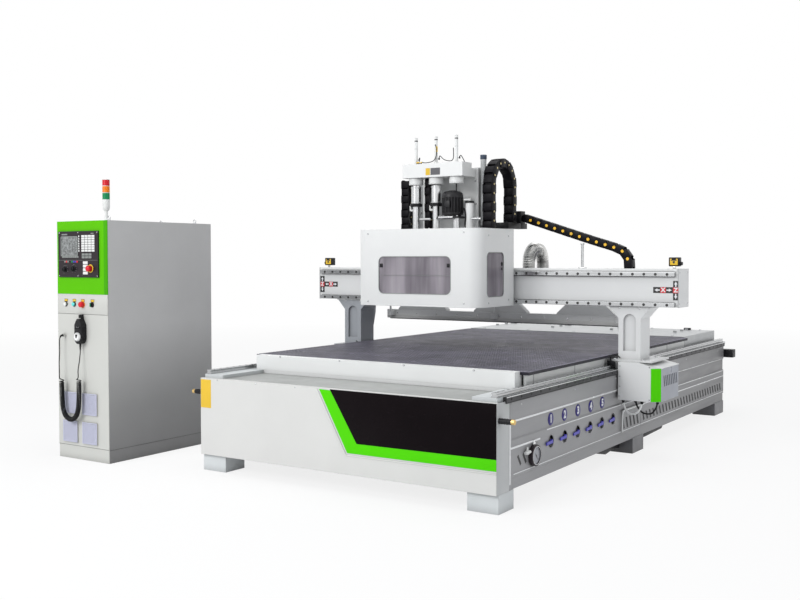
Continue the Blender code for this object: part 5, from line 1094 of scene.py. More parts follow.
def linear_rail(name, node, along, body, pitch):
    """Profiled guide rail with sunk screws in place of a plain bar.

    Along Y it looks up, and along X to the front."""
    low, high = box_of(node)
    if along == "Y":
        (a0, a1), (foot, top), span, way = (low.x, high.x), (low.z, high.z), (low.y, high.y), 1
        waist, margin, radius, proud = 0.004, 0.04, 0.0078, 0.0004
    else:
        (a0, a1), (foot, top), span, way = (low.z, high.z), (high.y, low.y), (low.x, high.x), -1
        waist, margin, radius, proud = 0.0035, 0.03, 0.0098, 0.0006
    tall, edge = top - foot, 0.002
    flank = [
        (0, foot), (0, foot + 0.28 * tall), (waist, foot + 0.45 * tall), (waist, foot + 0.62 * tall),
        (0, foot + 0.78 * tall), (0, top - way * edge), (edge, top),
    ]
    outline = [(a1 - inset, b) for inset, b in flank] + [(a0 + inset, b) for inset, b in reversed(flank)]
    if along == "X":
        outline = [(b, a) for a, b in outline]
    count = int((span[1] - span[0] - margin) / pitch)
    start = (span[0] + span[1] - count * pitch) / 2
    plug = [(0, way * proud), (radius, way * proud), (radius, -way * 0.001), (0, -way * 0.001)]
    plugs = []
    for number in range(count + 1):
        centre = ((a0 + a1) / 2, start + number * pitch)
        if along == "Y":
            plugs.append(lathe("Z", centre, plug, 16, top))
        else:
            plugs.append(lathe("Y", centre[::-1], plug, 16, top))
    made = piece(name, body, (RAIL, [prism(along, outline, span)]), (BLACK_INK, plugs))
    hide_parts(node)


def toothed_rack(side, name):
    """Rack with teeth that point down, a ledge on top and screws, in place of a plain bar."""
    low, high = box_of(f"y_rack_{name}")
    pitch, tall = 0.0094, 0.006
    count = int((high.y - low.y) / pitch)
    outline = [(low.y, high.z), (high.y, high.z), (high.y, low.z + tall)]
    for number in reversed(range(count)):
        y = low.y + number * pitch
        outline += [
            (y + 0.0075, low.z + tall), (y + 0.0058, low.z), (y + 0.003, low.z), (y + 0.0013, low.z + tall),
        ]
    outline.append((low.y, low.z + tall))
    bar = prism("X", outline, (low.x, high.x))
    places = [(low.y + 0.0625 + 0.125 * number, (low.z + high.z) / 2 + 0.003) for number in range(34)]
    face = high.x if side > 0 else low.x
    heads = screws("X", face, places, 0.0085, side * 0.0022)
    ledge = block(
        sorted((face - side * 0.004, face + side * 0.0008)), (low.y, high.y),
        (high.z - 0.0045, high.z + 0.0004),
    )
    made = piece(f"rack_{name}", "base", (DARK, [bar]), (STEEL, [ledge]), (BLACK_INK, heads))
    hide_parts(f"y_rack_{name}")


def bed_extras():
    """Leveling pads under the feet."""
    pads = []
    for y in (0.115, 2.19, 4.26):
        for side in (-1, 1):
            x = side * 1.005
            pads.append(rod("Z", (x, y), 0.045, (0.0005, 0.01), 32))
    piece("foot_pads", "base", (BLACK, pads))


# ---------------------------------------------------------------- gantry


def gantry_details():
    """Lines, covers, caps, signs and switches of the beam, and what rides with it."""
    lines = []
    for z in (1.0995, 1.2725):
        lines.append(block((-1.488, 1.488), (1.8118, 1.8132), (z - 0.002, z + 0.0012)))
    piece("beam_shadow_lines", "gantry", (BLACK_INK, lines))
    cover = block((-1.5, 1.5), (1.816, 2.026), (1.3243, 1.3262), 0.0008)
    lip = block((-1.5, 1.5), (1.8085, 1.8126), (1.308, 1.3255), 0.0012)
    piece("beam_top_cover", "gantry", (WHITE, [cover, lip]))
    for side, name in SIDES:
        plate = block((side * 1.508, side * 1.5105), (1.8085, 2.034), (1.066, 1.3262), 0.001)
        places = [(y, z) for y in (1.835, 2.01) for z in (1.09, 1.3)]
        heads = screws("X", side * BEAM_END, places, 0.006, side * 0.003)
        piece(f"beam_cap_{name}", "gantry", (GREY, [plate]), (STEEL, heads))
    for side, name in SIDES:
        column_details(side, name)
        cover_details(side, name)
    cover_cables()
    sign("right", 1, (1.338, 1.511), (1.1635, 1.2035), (1.4746, 1.511), (1.117, 1.246))
    sign("left", -1, (-1.503, -1.325), (1.167, 1.208), (-1.503, -1.4606), (1.121, 1.253))
    sensor("right", 1.47, 1)
    sensor("left", -1.44, -1)
    bar_details()


def column_details(side, name):
    """Bolts, head flange and rail wiper of a column."""
    front = BEAM_FACE
    top = surface(f"column_{name}", (side * 1.262, front - 0.012, 0.9), (0, 0, -1)).z
    bolts = screws(
        "Z", top,
        [(side * 1.268, front - 0.012), (side * 1.268, front + 0.275), (side * 1.075, front - 0.012)], 0.01,
        0.007,
    )
    places = [(side * 1.1, 1.0562), (side * 1.244, 1.0562)]
    bolts += screws("Y", front, places, 0.008, -0.003)
    piece(f"column_bolts_{name}", "gantry", (STEEL, bolts))
    flange = block((side * 1.03, side * 1.33), (1.8118, 2.14), (1.06, 1.0679), 0.001)
    piece(f"column_head_{name}", "gantry", (BEAM, [flange]))
    wiper = [
        block((side * 1.035, side * 1.09), (1.752, 1.768), (0.641, 0.69), 0.003),
        block((side * 1.04, side * 1.085), (1.735, 1.752), (0.667, 0.694), 0.003),
        rod("Z", (side * 1.062, 1.745), 0.007, (0.69, 0.704), 16),
    ]
    hose = pipe(
        smooth_path(
            [
                (side * 1.062, 1.745, 0.702), (side * 1.07, 1.735, 0.728), (side * 1.1, 1.758, 0.735),
                (side * 1.11, 1.8, 0.712),
            ],
            0.006,
        ),
        0.004, 8,
    )
    piece(f"rail_wiper_{name}", "gantry", (BLACK, wiper + [hose]))


def cover_details(side, name):
    """Louvres, coloured corner strip, lid and screws of a motor cover, and a blue-grey skin on its outer
    side: painted shade on the white cover.
    """
    outer = side * COVER_SIDE_FACE
    holes, lips = [], []
    for number in range(8):
        y = 1.868 + 0.037 * number
        slot = [(y, 0.525), (y + 0.01, 0.525), (y - 0.008, 0.6), (y - 0.018, 0.6)]
        holes.append(prism("X", slot, sorted((outer - side * 0.0005, outer + side * 0.0007))))
        lip = [(y + 0.009, 0.527), (y + 0.017, 0.529), (y - 0.001, 0.598), (y - 0.009, 0.6)]
        lips.append(prism("X", lip, sorted((outer - side * 0.0005, outer + side * 0.0035)), 0.0012))
    # A blue-grey skin over the outer side of the white cover: painted shade.
    shade_skin = block(sorted((outer - side * 0.0004, outer + side * 0.0004)), (1.8015, 2.169), (0.428, 0.654))
    groups = [(COVER_SIDE_SHADE, [shade_skin]), (COVER_SIDE_SHADE, lips), (BLACK_INK, holes)]
    piece(f"cover_louvres_{name}", "gantry", *groups, slot="white_paint")
    a, b = Vector((1.349, 1.757)), Vector((1.4, 1.8))
    out = Vector((b - a).orthogonal()).normalized()
    if out.y > 0:
        out = -out
    corners = [a, b, b + out * 0.0022, a + out * 0.0022]
    wrap = [a + Vector((-0.004, 0)), a, a + out * 0.0022, a + Vector((-0.004, -0.0022))]
    green = []
    for outline in (corners, wrap):
        flat = [(side * p.x, p.y) for p in outline]
        green.append(prism("Z", flat, (0.4285, 0.653)))
    piece(f"cover_strip_{name}", "gantry", (GREEN, green))
    heads = [(side * 1.124, z) for z in (0.452, 0.52, 0.59, 0.66)]
    made = screws("Y", COVER_FRONT, heads, 0.0055, -0.0025)
    made += screws("Y", COVER_FRONT, [(side * 1.335, 0.44), (side * 1.335, 0.662)], 0.0055, -0.0025)
    piece(f"cover_screws_{name}", "gantry", (STEEL, made))
    slope = (0.6874 - 0.655) / (1.4 - 1.252)
    lid = [
        (side * 1.255, 0.688), (side * 1.404, 0.688 - slope * 0.149), (side * 1.404, 0.684 - slope * 0.149),
        (side * 1.255, 0.684),
    ]
    piece(f"cover_lid_{name}", "gantry", (WHITE, [prism("Y", lid, (1.8, 2.172), 0.0008)]))


def cover_cables():
    """Two cables that hang in loops under the right motor cover and go back into it."""
    bottom = 0.4272
    loops = (
        (
            "cover_cable_white", WHITE, 0.013, "white_plastic", 1.8,
            (1.135, 1.142, 1.17, 1.22, 1.258, 1.268), (bottom, 0.382, 0.338, 0.334, 0.374, bottom),
        ),
        (
            "cover_cable_black", RUBBER, 0.012, "cord_rubber", 1.85,
            (1.205, 1.215, 1.255, 1.315, 1.35, 1.36), (bottom, 0.382, 0.338, 0.336, 0.38, bottom),
        ),
    )
    glands = []
    for name, made, wide, slot, y, xs, zs in loops:
        path = smooth_path([(x, y, z) for x, z in zip(xs, zs)], 0.008)
        mesh = piece(name, "gantry", (made, [pipe(path, wide / 2, 14)]), slot=slot)
        at(path[0])
        length_of(path)
        [at(point) for point in path]
        profile = [
            (0, 0.0004), (0.013, 0.0004), (0.013, -0.008), (0.01, -0.01), (0.01, -0.02), (0.0075, -0.024),
            (0, -0.024),
        ]
        glands += [lathe("Z", (x, y), profile, 24, 0.427) for x in (xs[0], xs[-1])]
    piece("cover_glands", "gantry", (BLACK, glands))


def sign(name, side, x_wide, x_tall, z_wide, z_tall):
    """Axis sign: a black strip along X and one along Z, with arrows and a red square for each letter."""
    middle_z = (x_tall[0] + x_tall[1]) / 2
    middle_x = (z_wide[0] + z_wide[1]) / 2
    half = (x_tall[1] - x_tall[0]) / 2
    start = x_wide[0] if side > 0 else z_wide[1]
    end = z_wide[0] if side > 0 else x_wide[1]
    centre_x = (start + end) / 2
    square = half * 0.95
    strips, reds, arrows, places = [], [], [], []
    for axis, x, wide, tall, face in (
        ("X", centre_x, x_wide, x_tall, BEAM_FACE), ("Z", middle_x, z_wide, z_tall, BEAM_FACE - 0.0004),
    ):
        strips.append(block(wide, (face - 0.0012, BEAM_FACE + 0.0004), tall))
        spans = (x - square, x + square), (face - 0.002, face - 0.001), (middle_z - square, middle_z + square)
        reds.append(block(*spans))
        along, across = (x, middle_z) if axis == "X" else (middle_z, x)
        for way in (-1, 1):
            root, tip = along + way * (square + 0.004), along + way * (square + 0.04)
            arrows.append(arrow(axis, root, tip, across, half * 0.55, face - 0.0012))
        places.append(((x, face - 0.0021, middle_z), "Y"))
    groups = [(BLACK_INK, strips), (RED_INK, reds), (WHITE_INK, arrows)]
    piece(f"axis_sign_{name}", "gantry", *groups)
    letters(f"axis_letters_{name}", "XZ", half * 2, places, "gantry")


def arrow(axis, root, tip, across, half, face):
    """Flat arrow on the beam's face, along X or Z."""
    neck = tip - 0.55 * (tip - root)
    outline = [
        (root, across - half * 0.4), (neck, across - half * 0.4), (neck, across - half), (tip, across),
        (neck, across + half), (neck, across + half * 0.4), (root, across + half * 0.4),
    ]
    if axis == "Z":
        outline = [(b, a) for a, b in outline]
    return prism("Y", outline, (face - 0.0006, face + 0.0004))


def sensor(name, x, side):
    """Limit switch on a bracket at the end of the beam."""
    stalk = [block((x - 0.01, x + 0.01), (1.845, 1.852), (1.3245, 1.345), 0.001)]
    body = [
        block((x - 0.036, x + 0.036), (1.838, 1.888), (1.343, 1.404), 0.004),
        rod("X", (1.862, 1.362), 0.012, (x + side * 0.036, x + side * 0.052), 16),
        block((x - 0.014, x + 0.014), (1.8335, 1.838), (1.388, 1.404), 0.001),
    ]
    face = [block((x - 0.026, x + 0.026), (1.8362, 1.8385), (1.352, 1.395), 0.001)]
    marks = [rod("Y", (x, 1.371), 0.008, (1.8345, 1.8368), 16)]
    marks.append(block((x - 0.02, x + 0.02), (1.8352, 1.8366), (1.3815, 1.388)))
    groups = [(BLACK, body), (YELLOW, face), (BLACK_INK, marks), (STEEL, stalk)]
    piece(f"limit_switch_{name}", "gantry", *groups)


def bar_details():
    """Bristles, funnel collars and bolts of the bar behind the beam."""
    bristles = []
    front = surface("suction_bar", (0.5, 1.9, 0.905), (0, 1, 0)).y
    rear = surface("suction_bar", (0.5, 2.5, 0.905), (0, -1, 0)).y
    count = 260
    for number in range(count):
        x = -1.038 + 2.076 * (number + 0.5) / count
        low = 0.8982 + 0.0018 * DICE.random()
        bristles.append(block((x - 0.003, x + 0.003), (front - 0.0012, rear + 0.0012), (low, 0.9195)))
    piece("bar_bristles", "suction_bar", (BLACK, bristles))
    heads = screws("Y", 2.135, [(x, 0.948) for x in [-0.95 + 0.19 * n for n in range(11)]], 0.006, -0.003)
    strip = block((-1.048, 1.048), (2.1325, 2.1353), (0.9065, 0.9345), 0.0008)
    piece("bar_screws", "suction_bar", (STEEL, heads), (FASCIA, [strip]))
    rings = []
    for x in (-0.71, 0.0, 0.71):
        for start in (x - 0.085, x + 0.073):
            rings.append(rod("X", BAR_PIPE, PIPE_RADIUS, (start, start + 0.012), 40))
    piece("bar_bands", "suction_bar", (STEEL, rings))


def chain(
    name, axis, line, width, thickness, replaced=(), body=None, blend=None, dot=CREAM, dot_radius=0.008,
    pitch=CHAIN_PITCH,
):
    """Cable chain: side plates in two layers, cross bars and a pin at each joint, along a line in a plane."""
    path = even_points([(a, b, 0) for a, b in line], pitch)
    half, low, high = thickness / 2, min(width), max(width)
    plates, bars, pins = [], [], []
    for number, (start, end) in enumerate(zip(path, path[1:])):
        way = (end - start).to_2d().normalized()
        normal = Vector((-way.y, way.x))
        middle = ((start + end) / 2).to_2d()
        reach = (end - start).length * 0.5 + half * 0.3
        inset = 0.0035 if number % 2 else 0.0
        outline = []
        for u, v in (
            (1, 0.45), (0.72, 0.97), (-0.72, 0.97), (-1, 0.45), (-1, -0.45), (-0.72, -0.97), (0.72, -0.97),
            (1, -0.45),
        ):
            outline.append(tuple(middle + way * (reach * u) + normal * (half * v)))
        plates.append(prism(axis, outline, (low + inset, low + inset + 0.0075), 0.0012))
        plates.append(prism(axis, outline, (high - inset - 0.0075, high - inset), 0.0012))
        for v in (-1, 1):
            a = middle + normal * (v * (half - 0.0005)) - way * (pitch * 0.4)
            b = middle + normal * (v * (half - 0.0005)) + way * (pitch * 0.4)
            c = b - normal * (v * 0.005)
            d = a - normal * (v * 0.005)
            bars.append(prism(axis, [tuple(p) for p in (a, b, c, d)], (low + 0.009, high - 0.009), 0.001))
        core = 0.45 * half
        inner = [middle - way * pitch * 0.52 - normal * core, middle + way * pitch * 0.52 - normal * core,
                 middle + way * pitch * 0.52 + normal * core, middle - way * pitch * 0.52 + normal * core]
        bars.append(prism(axis, [tuple(p) for p in inner], (low + 0.014, high - 0.014)))
        if dot and number:
            centre = tuple(start.to_2d())
            pins.append(rod(axis, centre, dot_radius, (low - 0.0008, low + 0.004), 16))
            pins.append(rod(axis, centre, dot_radius, (high - 0.004, high + 0.0008), 16))
    groups = [(CHAIN_BLACK, plates + bars)]
    if pins:
        groups.append((dot, pins))
    made = piece(name, body, *groups, slot="black_plastic")
    if replaced:
        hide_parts(*replaced)
    if blend:
        at(blend[2])
        at(blend[3])
        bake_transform(made)


def offset_line(points, by):
    """A line moved sideways in its plane, by the same amount all along."""
    points = [Vector(p) for p in points]
    found = []
    for number, point in enumerate(points):
        way = (points[min(number + 1, len(points) - 1)] - points[max(number - 1, 0)]).normalized()
        found.append(tuple(point + Vector((-way.y, way.x)) * by))
    return found


def arch(front, rear, bend, foot_front, foot_rear):
    """Centre line of a chain that stands as an arch, in the plane across X."""
    reach, middle = (rear - front) / 2, (rear + front) / 2
    line = [(front, foot_front), (front, (foot_front + bend) / 2), (front, bend)]
    for number in range(1, 8):
        turn = math.pi - math.pi * number / 8
        line.append((middle + reach * math.cos(turn), bend + reach * math.sin(turn)))
    return line + [(rear, bend), (rear, (bend + foot_rear) / 2), (rear, foot_rear)]


def cable_chains():
    """The Z and X cable chains, the X chain's arm and post, and the two short chains of the head."""
    low, high = box_of("z_cable_chain")
    half = 0.0325
    top = high.z - half
    front, rear = low.y + half, high.y - half
    bend = top - (rear - front) / 2
    line = arch(front, rear, bend, low.z + 0.002, 1.662)
    chain("z_chain", "X", line, (low.x, high.x), 0.064, ["z_cable_chain"],
          blend=("head", "z_axis", (0.225, 1.84, 1.9), (0.225, 1.58, 1.9)))
    low, high = box_of("x_cable_chain")
    inner = [(1.075, 1.326), (1.075, 1.37), (1.068, 1.396), (1.048, 1.42), (1.01, 1.44),
             (0.8, 1.504), (0.55, 1.584), (0.36, 1.645), (0.277, 1.672)]
    line = offset_line(inner, -0.0305)
    chain("x_chain", "Y", line, (low.y, high.y), 0.06, ["x_cable_chain"], dot=DOT_YELLOW, dot_radius=0.0115,
          blend=("gantry", "head", (1.01, 1.99, 1.5), (0.3, 1.99, 1.5)))
    cover = [
        block((0.11, 0.2762), (1.746, 1.95), (1.619, 1.661), 0.002),
        block((0.2344, 0.2745), (1.9516, 2.0238), (1.66, 1.7508), 0.002),
        block((0.2, 0.2762), (1.948, 2.054), (1.6185, 1.6612), 0.002),
    ]
    piece("chain_bracket", "head", (BLACK, cover))
    post = [
        rod("Z", (0.76, 1.965), 0.01, (1.3255, 1.502), 20),
        block((0.735, 0.785), (1.945, 1.985), (1.3255, 1.333), 0.002),
        rod("Z", (0.76, 1.965), 0.014, (1.496, 1.506), 20),
    ]
    piece("chain_post", "gantry", (STEEL, post))
    chain("head_chain_left", "X", [(1.6325, 1.604), (1.6325, 1.75), (1.6325, 1.984)], (-0.563, -0.491), 0.065,
          body="z_axis", dot_radius=0.005, pitch=0.058)
    chain("head_chain_middle", "X", [(1.54, 1.625), (1.54, 1.8), (1.54, 1.985)], (-0.301, -0.252), 0.05,
          body="z_axis", dot_radius=0.005, pitch=0.058)


def duct():
    """Flexible duct with its folded rings, and the clamps at both ends."""
    x, front, rear, spring = 0.235, 2.1675, 2.4175, 1.355
    radius, reach, middle = 0.05, (rear - front) / 2, (rear + front) / 2
    points = [(x, front, 1.2225), (x, front, 1.3)]
    for number in range(13):
        turn = math.pi - math.pi * number / 12
        points.append((x, middle + reach * math.cos(turn), spring + reach * math.sin(turn)))
    points += [(x, rear, 1.3), (x, rear, 1.2625)]
    path = even_points(points, 0.0026)
    sizes = []
    for number in range(len(path)):
        wave = (0.0, 0.6, 1.0, 0.6)[number % 4]
        sizes.append(radius - 0.0055 * (1 - wave) - 0.0009 * DICE.random())
    made = piece("flex_duct", None, (FOIL, [pipe(path, sizes, 40)]), soft=50)
    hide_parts("duct_hose")
    at((x, rear, 1.4))
    at((x, front, 1.4))
    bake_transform(made)
    clamp = rod("Z", (x, rear), 0.0518, (1.261, 1.271), 40)
    screw = block((x - 0.055, x - 0.035), (rear - 0.0425, rear - 0.0255), (1.26, 1.272), 0.002)
    piece("duct_clamp", "gantry", (STEEL, [clamp, screw]))
    clamp = rod("Z", (x, front), 0.0518, (1.226, 1.236), 40)
    piece("duct_clamp_bar", "suction_bar", (STEEL, [clamp]))


# ---------------------------------------------------------------- head


def frame_ring(axis, x, z, radius, width, span, square=False):
    """Flat ring along a rounded rectangle, as a seal round a window; square makes its outside sharp."""
    outside = 0.002 if square else radius + width
    outer = rounded_outline((x[0] - width, x[1] + width), (z[0] - width, z[1] + width), outside)
    inner = rounded_outline(x, z, radius)
    shape = bmesh.new()
    rings = []
    for outline, level in ((outer, span[0]), (outer, span[1]), (inner, span[1]), (inner, span[0])):
        rings.append([shape.verts.new(oriented(axis, a, b, level)) for a, b in outline])
    count = len(outer)
    for first, second in zip(rings, rings[1:] + rings[:1]):
        for i in range(count):
            j = (i + 1) % count
            shape.faces.new((first[i], first[j], second[j], second[i]))
    bmesh.ops.recalc_face_normals(shape, faces=shape.faces)
    return shape


def head_details():
    """Window seals and catches, screws and hem of the hood, and what is behind it."""
    front, side = ("Y", (-0.527, 0.076), (1.147, 1.41), 0.038), ("X", (1.376, 1.622), (1.13, 1.438), 0.032)
    # each window with the depth of its seal and of its corner plate
    windows = (
        (front, (1.2484, 1.252), (1.2494, 1.252)),
        (side, (0.2985, 0.3016), (0.2985, 0.3006)),
        (side, (-0.7426, -0.7395), (-0.7416, -0.7395)),
    )
    corners = [frame_ring(*window, 0.003, span, square=True) for window, _, span in windows]
    seals = [frame_ring(*window, 0.004, span) for window, span, _ in windows]
    piece("window_corners", HOOD_BODY, (WHITE, corners))
    piece("window_seals", HOOD_BODY, (KEY_GREY, seals))
    split = block((-0.5285, 0.0775), (1.25, 1.253), (1.2765, 1.2785), 0.0005)
    catches = [
        block((-0.52, -0.496), (1.2478, 1.2535), (1.335, 1.362), 0.002),
        block((0.048, 0.07), (1.2478, 1.2535), (1.335, 1.362), 0.002),
        block((0.2985, 0.303), (1.592, 1.612), (1.345, 1.372), 0.002),
        block((0.2985, 0.303), (1.592, 1.606), (1.315, 1.333), 0.002),
    ]
    piece("window_catches", HOOD_BODY, (BLACK, catches), (KEY_GREY, [split]))
    heads = screws(
        "Y", surface("hood", (-0.6, 1.0, 1.58), (0, 1, 0)).y,
        [(-0.625, 1.085), (-0.625, 1.58), (0.185, 1.085), (0.185, 1.58)], 0.006, -0.003,
    )
    heads += screws("X", HOOD_RIGHT, [(1.7, 1.1), (1.7, 1.56), (1.4, 1.56), (1.4, 1.085)], 0.006, 0.003)
    piece("hood_screws", HOOD_BODY, (STEEL, heads))
    hem = [block((-0.64, 0.2), (1.2488, 1.2515), (1.055, 1.064), 0.001)]
    piece("hood_hem", HOOD_BODY, (WHITE, hem))
    spindle_details()
    bridge_details()


def spindle_details():
    """Rings, clamps, hoses and cable of the three spindles and the motor."""
    for number, x in enumerate(SPINDLES, 1):
        centre = (x, 1.5)
        body = [
            (0.0548, 1.275), (0.0548, 1.3), (0.0555, 1.305), (0.0555, 1.33), (0.0548, 1.335), (0.0548, 1.34),
            (0.0535, 1.34), (0.0535, 1.275),
        ]
        rings = [lathe("Z", centre, body, 40, close=True)]
        groups = [(DARK, rings)]
        if number < 3:
            clamp = [
                (0.0262, 1.781), (0.044, 1.781), (0.0455, 1.784), (0.0455, 1.801), (0.044, 1.804),
                (0.027, 1.804),
            ]
            groups.append(
                (
                    BLACK,
                    [
                        lathe("Z", centre, clamp, 40, close=True),
                        block((x - 0.01, x + 0.01), (1.448, 1.46), (1.783, 1.802), 0.002),
                    ],
                )
            )
            ring = [(0.0372, 0), (0.0378, 0.001), (0.0378, 0.003), (0.0372, 0.004), (0.036, 0.002)]
            sleeve_rings = [lathe("Z", centre, ring, 36, z, close=True) for z in (1.808, 1.918)]
            fitting = [
                rod("X", (1.5, 1.755), 0.008, (x - 0.052, x - 0.024), 16),
                rod("Z", (x - 0.05, 1.5), 0.007, (1.752, 1.79), 16),
            ]
            groups.append((WHITE, sleeve_rings))
            groups.append((KEY_WHITE, fitting))
            tube = smooth_path(
                [
                    (x - 0.05, 1.5, 1.788), (x - 0.053, 1.505, 1.83), (x - 0.06, 1.53, 1.9),
                    (x - 0.05, 1.56, 1.96),
                ],
                0.01,
            )
            if number == 1:
                tube = smooth_path(
                    [
                        (x - 0.05, 1.5, 1.752), (x - 0.06, 1.495, 1.7), (x - 0.045, 1.5, 1.64),
                        (x - 0.05, 1.52, 1.615),
                    ],
                    0.01,
                )
            groups.append((RUBBER, [pipe(tube, 0.0045, 10)]))
            if number == 2:
                groups.append((CHROME, [rod("X", (1.452, 1.685), 0.0095, (x - 0.11, x - 0.024), 20)]))
        piece(f"spindle_dress_{number}", f"spindle_{number}", *groups, slot="steel")
    motor = motor_parts()
    motor.append((CHROME, [rod("X", (1.442, 1.694), 0.0105, (-0.135, -0.012), 20)]))
    piece("motor_dress", "spindle_3", *motor, slot="black_cast")
    cable = smooth_path(
        [
            (0.02, 1.52, 1.76), (0.045, 1.505, 1.75), (0.06, 1.5, 1.7), (0.052, 1.505, 1.64),
            (0.06, 1.52, 1.612),
        ],
        0.008,
    )
    piece("motor_cable", "spindle_3", (RUBBER, [pipe(cable, 0.007, 12)]))


def motor_parts():
    """Fan cowl, terminal box, rings and bolts of the motor."""
    centre = (-0.062, 1.52)
    cowl = [
        (0, 1.8905), (0.03, 1.8895), (0.058, 1.883), (0.072, 1.872), (0.078, 1.855), (0.078, 1.838),
        (0.076, 1.838), (0.076, 1.852), (0, 1.852),
    ]
    skirt = [(0.0785, 1.7155), (0.0785, 1.727), (0.0765, 1.729), (0.07, 1.729), (0.07, 1.7155)]
    black = [lathe("Z", centre, cowl, 48), lathe("Z", centre, skirt, 48, close=True)]
    for number in range(22):
        fin = ray_stroke(centre, math.tau * number / 22, 0.066, 0.0787, 0.0021)
        black.append(prism("Z", fin, (1.727, 1.84), 0.0006))
    grille = []
    for r in (0.01, 0.018, 0.026):
        wire = [(r, 1.8892), (r, 1.8908), (r + 0.002, 1.8908), (r + 0.002, 1.8892)]
        grille.append(lathe("Z", centre, wire, 36, close=True))
    box_ = [block((-0.085, -0.039), (1.436, 1.462), (1.765, 1.815), 0.004)]
    bolts = screws("Z", 1.702, [(-0.13, 1.455), (0.014, 1.455), (-0.13, 1.587), (0.014, 1.587)], 0.007, 0.005)
    return [(CAST, black + grille + box_), (STEEL, bolts)]


def bridge_details():
    """Labels, valves, tubes and rings of the bridge box, and what stands beside it."""
    face = surface("z_slide", (-0.2, 1.2, 2.03), (0, 1, 0)).y
    for name, made, x in (("left", LABEL, (-0.24, -0.203)), ("right", LABEL_DARK, (-0.198, -0.118))):
        label = block(x, (face - 0.0008, face + 0.0003), (2.005, 2.055))
        piece(f"bridge_label_{name}", "z_axis", (made, [label]))
    top = BRIDGE_TOP
    black, yellow, white, steel = [], [], [], []
    for x in SPINDLES:
        centre = (x, 1.5)
        for z, r in ((top + 0.001, 0.016), (2.205, 0.0128), (2.282, 0.0128)):
            white.append(rod("Z", centre, r, (z, z + 0.007 if z > 2.1 else z + 0.012), 24))
        black.append(rod("Z", centre, 0.0128, (2.262, 2.27), 20))
        steel.append(rod("X", (1.5, 2.125), 0.004, (x + 0.01, x + 0.026), 12))
        black.append(rod("Z", (x + 0.026, 1.5), 0.0055, (2.118, 2.134), 12))
    for x in (-0.335, -0.32, -0.3):
        yellow.append(rod("Z", (x, 1.47), 0.0065, (top + 0.008, top + 0.018), 16))
        black.append(rod("Z", (x, 1.47), 0.0075, (top - 0.001, top + 0.009), 16))
    yellow.append(block((-0.182, -0.172), (1.484, 1.494), (2.175, 2.215), 0.002))
    tubes = [
        [
            (-0.164, 1.5, 2.134), (-0.15, 1.49, 2.145), (-0.11, 1.485, 2.115), (-0.06, 1.49, 2.105),
            (-0.044, 1.5, 2.128), (-0.044, 1.5, 2.2),
        ],
        [(-0.336, 1.5, 2.134), (-0.325, 1.49, 2.14), (-0.316, 1.475, 2.125), (-0.32, 1.47, 2.106)],
        [(0.008, 1.5, 2.134), (0.02, 1.5, 2.14), (0.03, 1.52, 2.11), (0.03, 1.54, 2.092)],
        [
            (-0.19, 1.487, 2.23), (-0.178, 1.484, 2.2), (-0.181, 1.486, 2.15), (-0.2, 1.475, 2.11),
            (-0.26, 1.47, 2.099), (-0.298, 1.47, 2.106),
        ],
    ]
    hoses = [pipe(smooth_path(path, 0.005), 0.003, 8) for path in tubes]
    heads = screws(
        "Z", top, [(-0.41, 1.46), (-0.41, 1.55), (0.045, 1.55), (-0.1, 1.55), (-0.27, 1.55)], 0.007, 0.004,
    )
    piece(
        "bridge_fittings", "z_axis", (BLACK, black + hoses), (YELLOW, yellow), (KEY_WHITE, white),
        (STEEL, steel + heads),
    )
    collars = []
    for x in SPINDLES:
        for z in (1.9445, 1.984):
            profile = [(0.053, 0), (0.0545, 0.001), (0.0545, 0.003), (0.053, 0.004), (0.051, 0.002)]
            collars.append(lathe("Z", (x, 1.5), profile, 40, z, close=True))
    piece("bridge_collars", "z_axis", (WHITE, collars))
    centre = (0.078, 1.525)
    clamp = [
        rod("Z", centre, 0.0335, (1.797, 1.812), 32),
        block((0.06, 0.096), (1.488, 1.496), (1.798, 1.811), 0.002),
    ]
    fitting = [
        rod("X", (1.525, 1.822), 0.007, (0.03, 0.078), 16),
        rod("Z", (0.078, 1.525), 0.01, (1.811, 1.829), 20),
    ]
    bar = rod("X", (1.5, 1.682), 0.0095, (0.11, 0.184), 20)
    piece("reservoir_fittings", "z_axis", (BLACK, clamp), (KEY_WHITE, fitting), (CHROME, [bar]))
    cap = [
        (0, 2.1585), (0.0225, 2.1585), (0.0245, 2.1565), (0.0245, 2.128), (0.0232, 2.126), (0.0215, 2.126),
        (0.0215, 2.15), (0, 2.15),
    ]
    piece("post_cap", "head", (BLUE_CAP, [lathe("Z", POST, cap, 36)]))
    cover = [(0.018, 1.66), (0.0206, 1.66), (0.0206, 2.127), (0.018, 2.127)]
    piece("post_sleeve", "head", (WHITE, [lathe("Z", POST, cover, 32, close=True)]))
    hose = smooth_path(
        [
            (0.215, 1.845, 1.668), (0.212, 1.835, 1.64), (0.19, 1.815, 1.627), (0.16, 1.8, 1.632),
            (0.14, 1.79, 1.655),
        ],
        0.006,
    )
    piece("arm_hose", "head", (RUBBER, [pipe(hose, 0.009, 12)]))
    bolts = screws(
        "Y", surface("x_carriage", (-0.45, 1.2, 2.0), (0, 1, 0)).y,
        [(x, z) for x in (-0.47, 0.09) for z in (1.15, 1.45, 1.75, 2.04)], 0.008, -0.005,
    )
    bolts += screws("Y", 1.69, [(x, z) for x in (-0.4, 0.035) for z in (1.62, 1.8, 1.97)], 0.008, -0.005)
    piece("carriage_bolts", "head", (STEEL, bolts))


# ---------------------------------------------------------------- cabinet


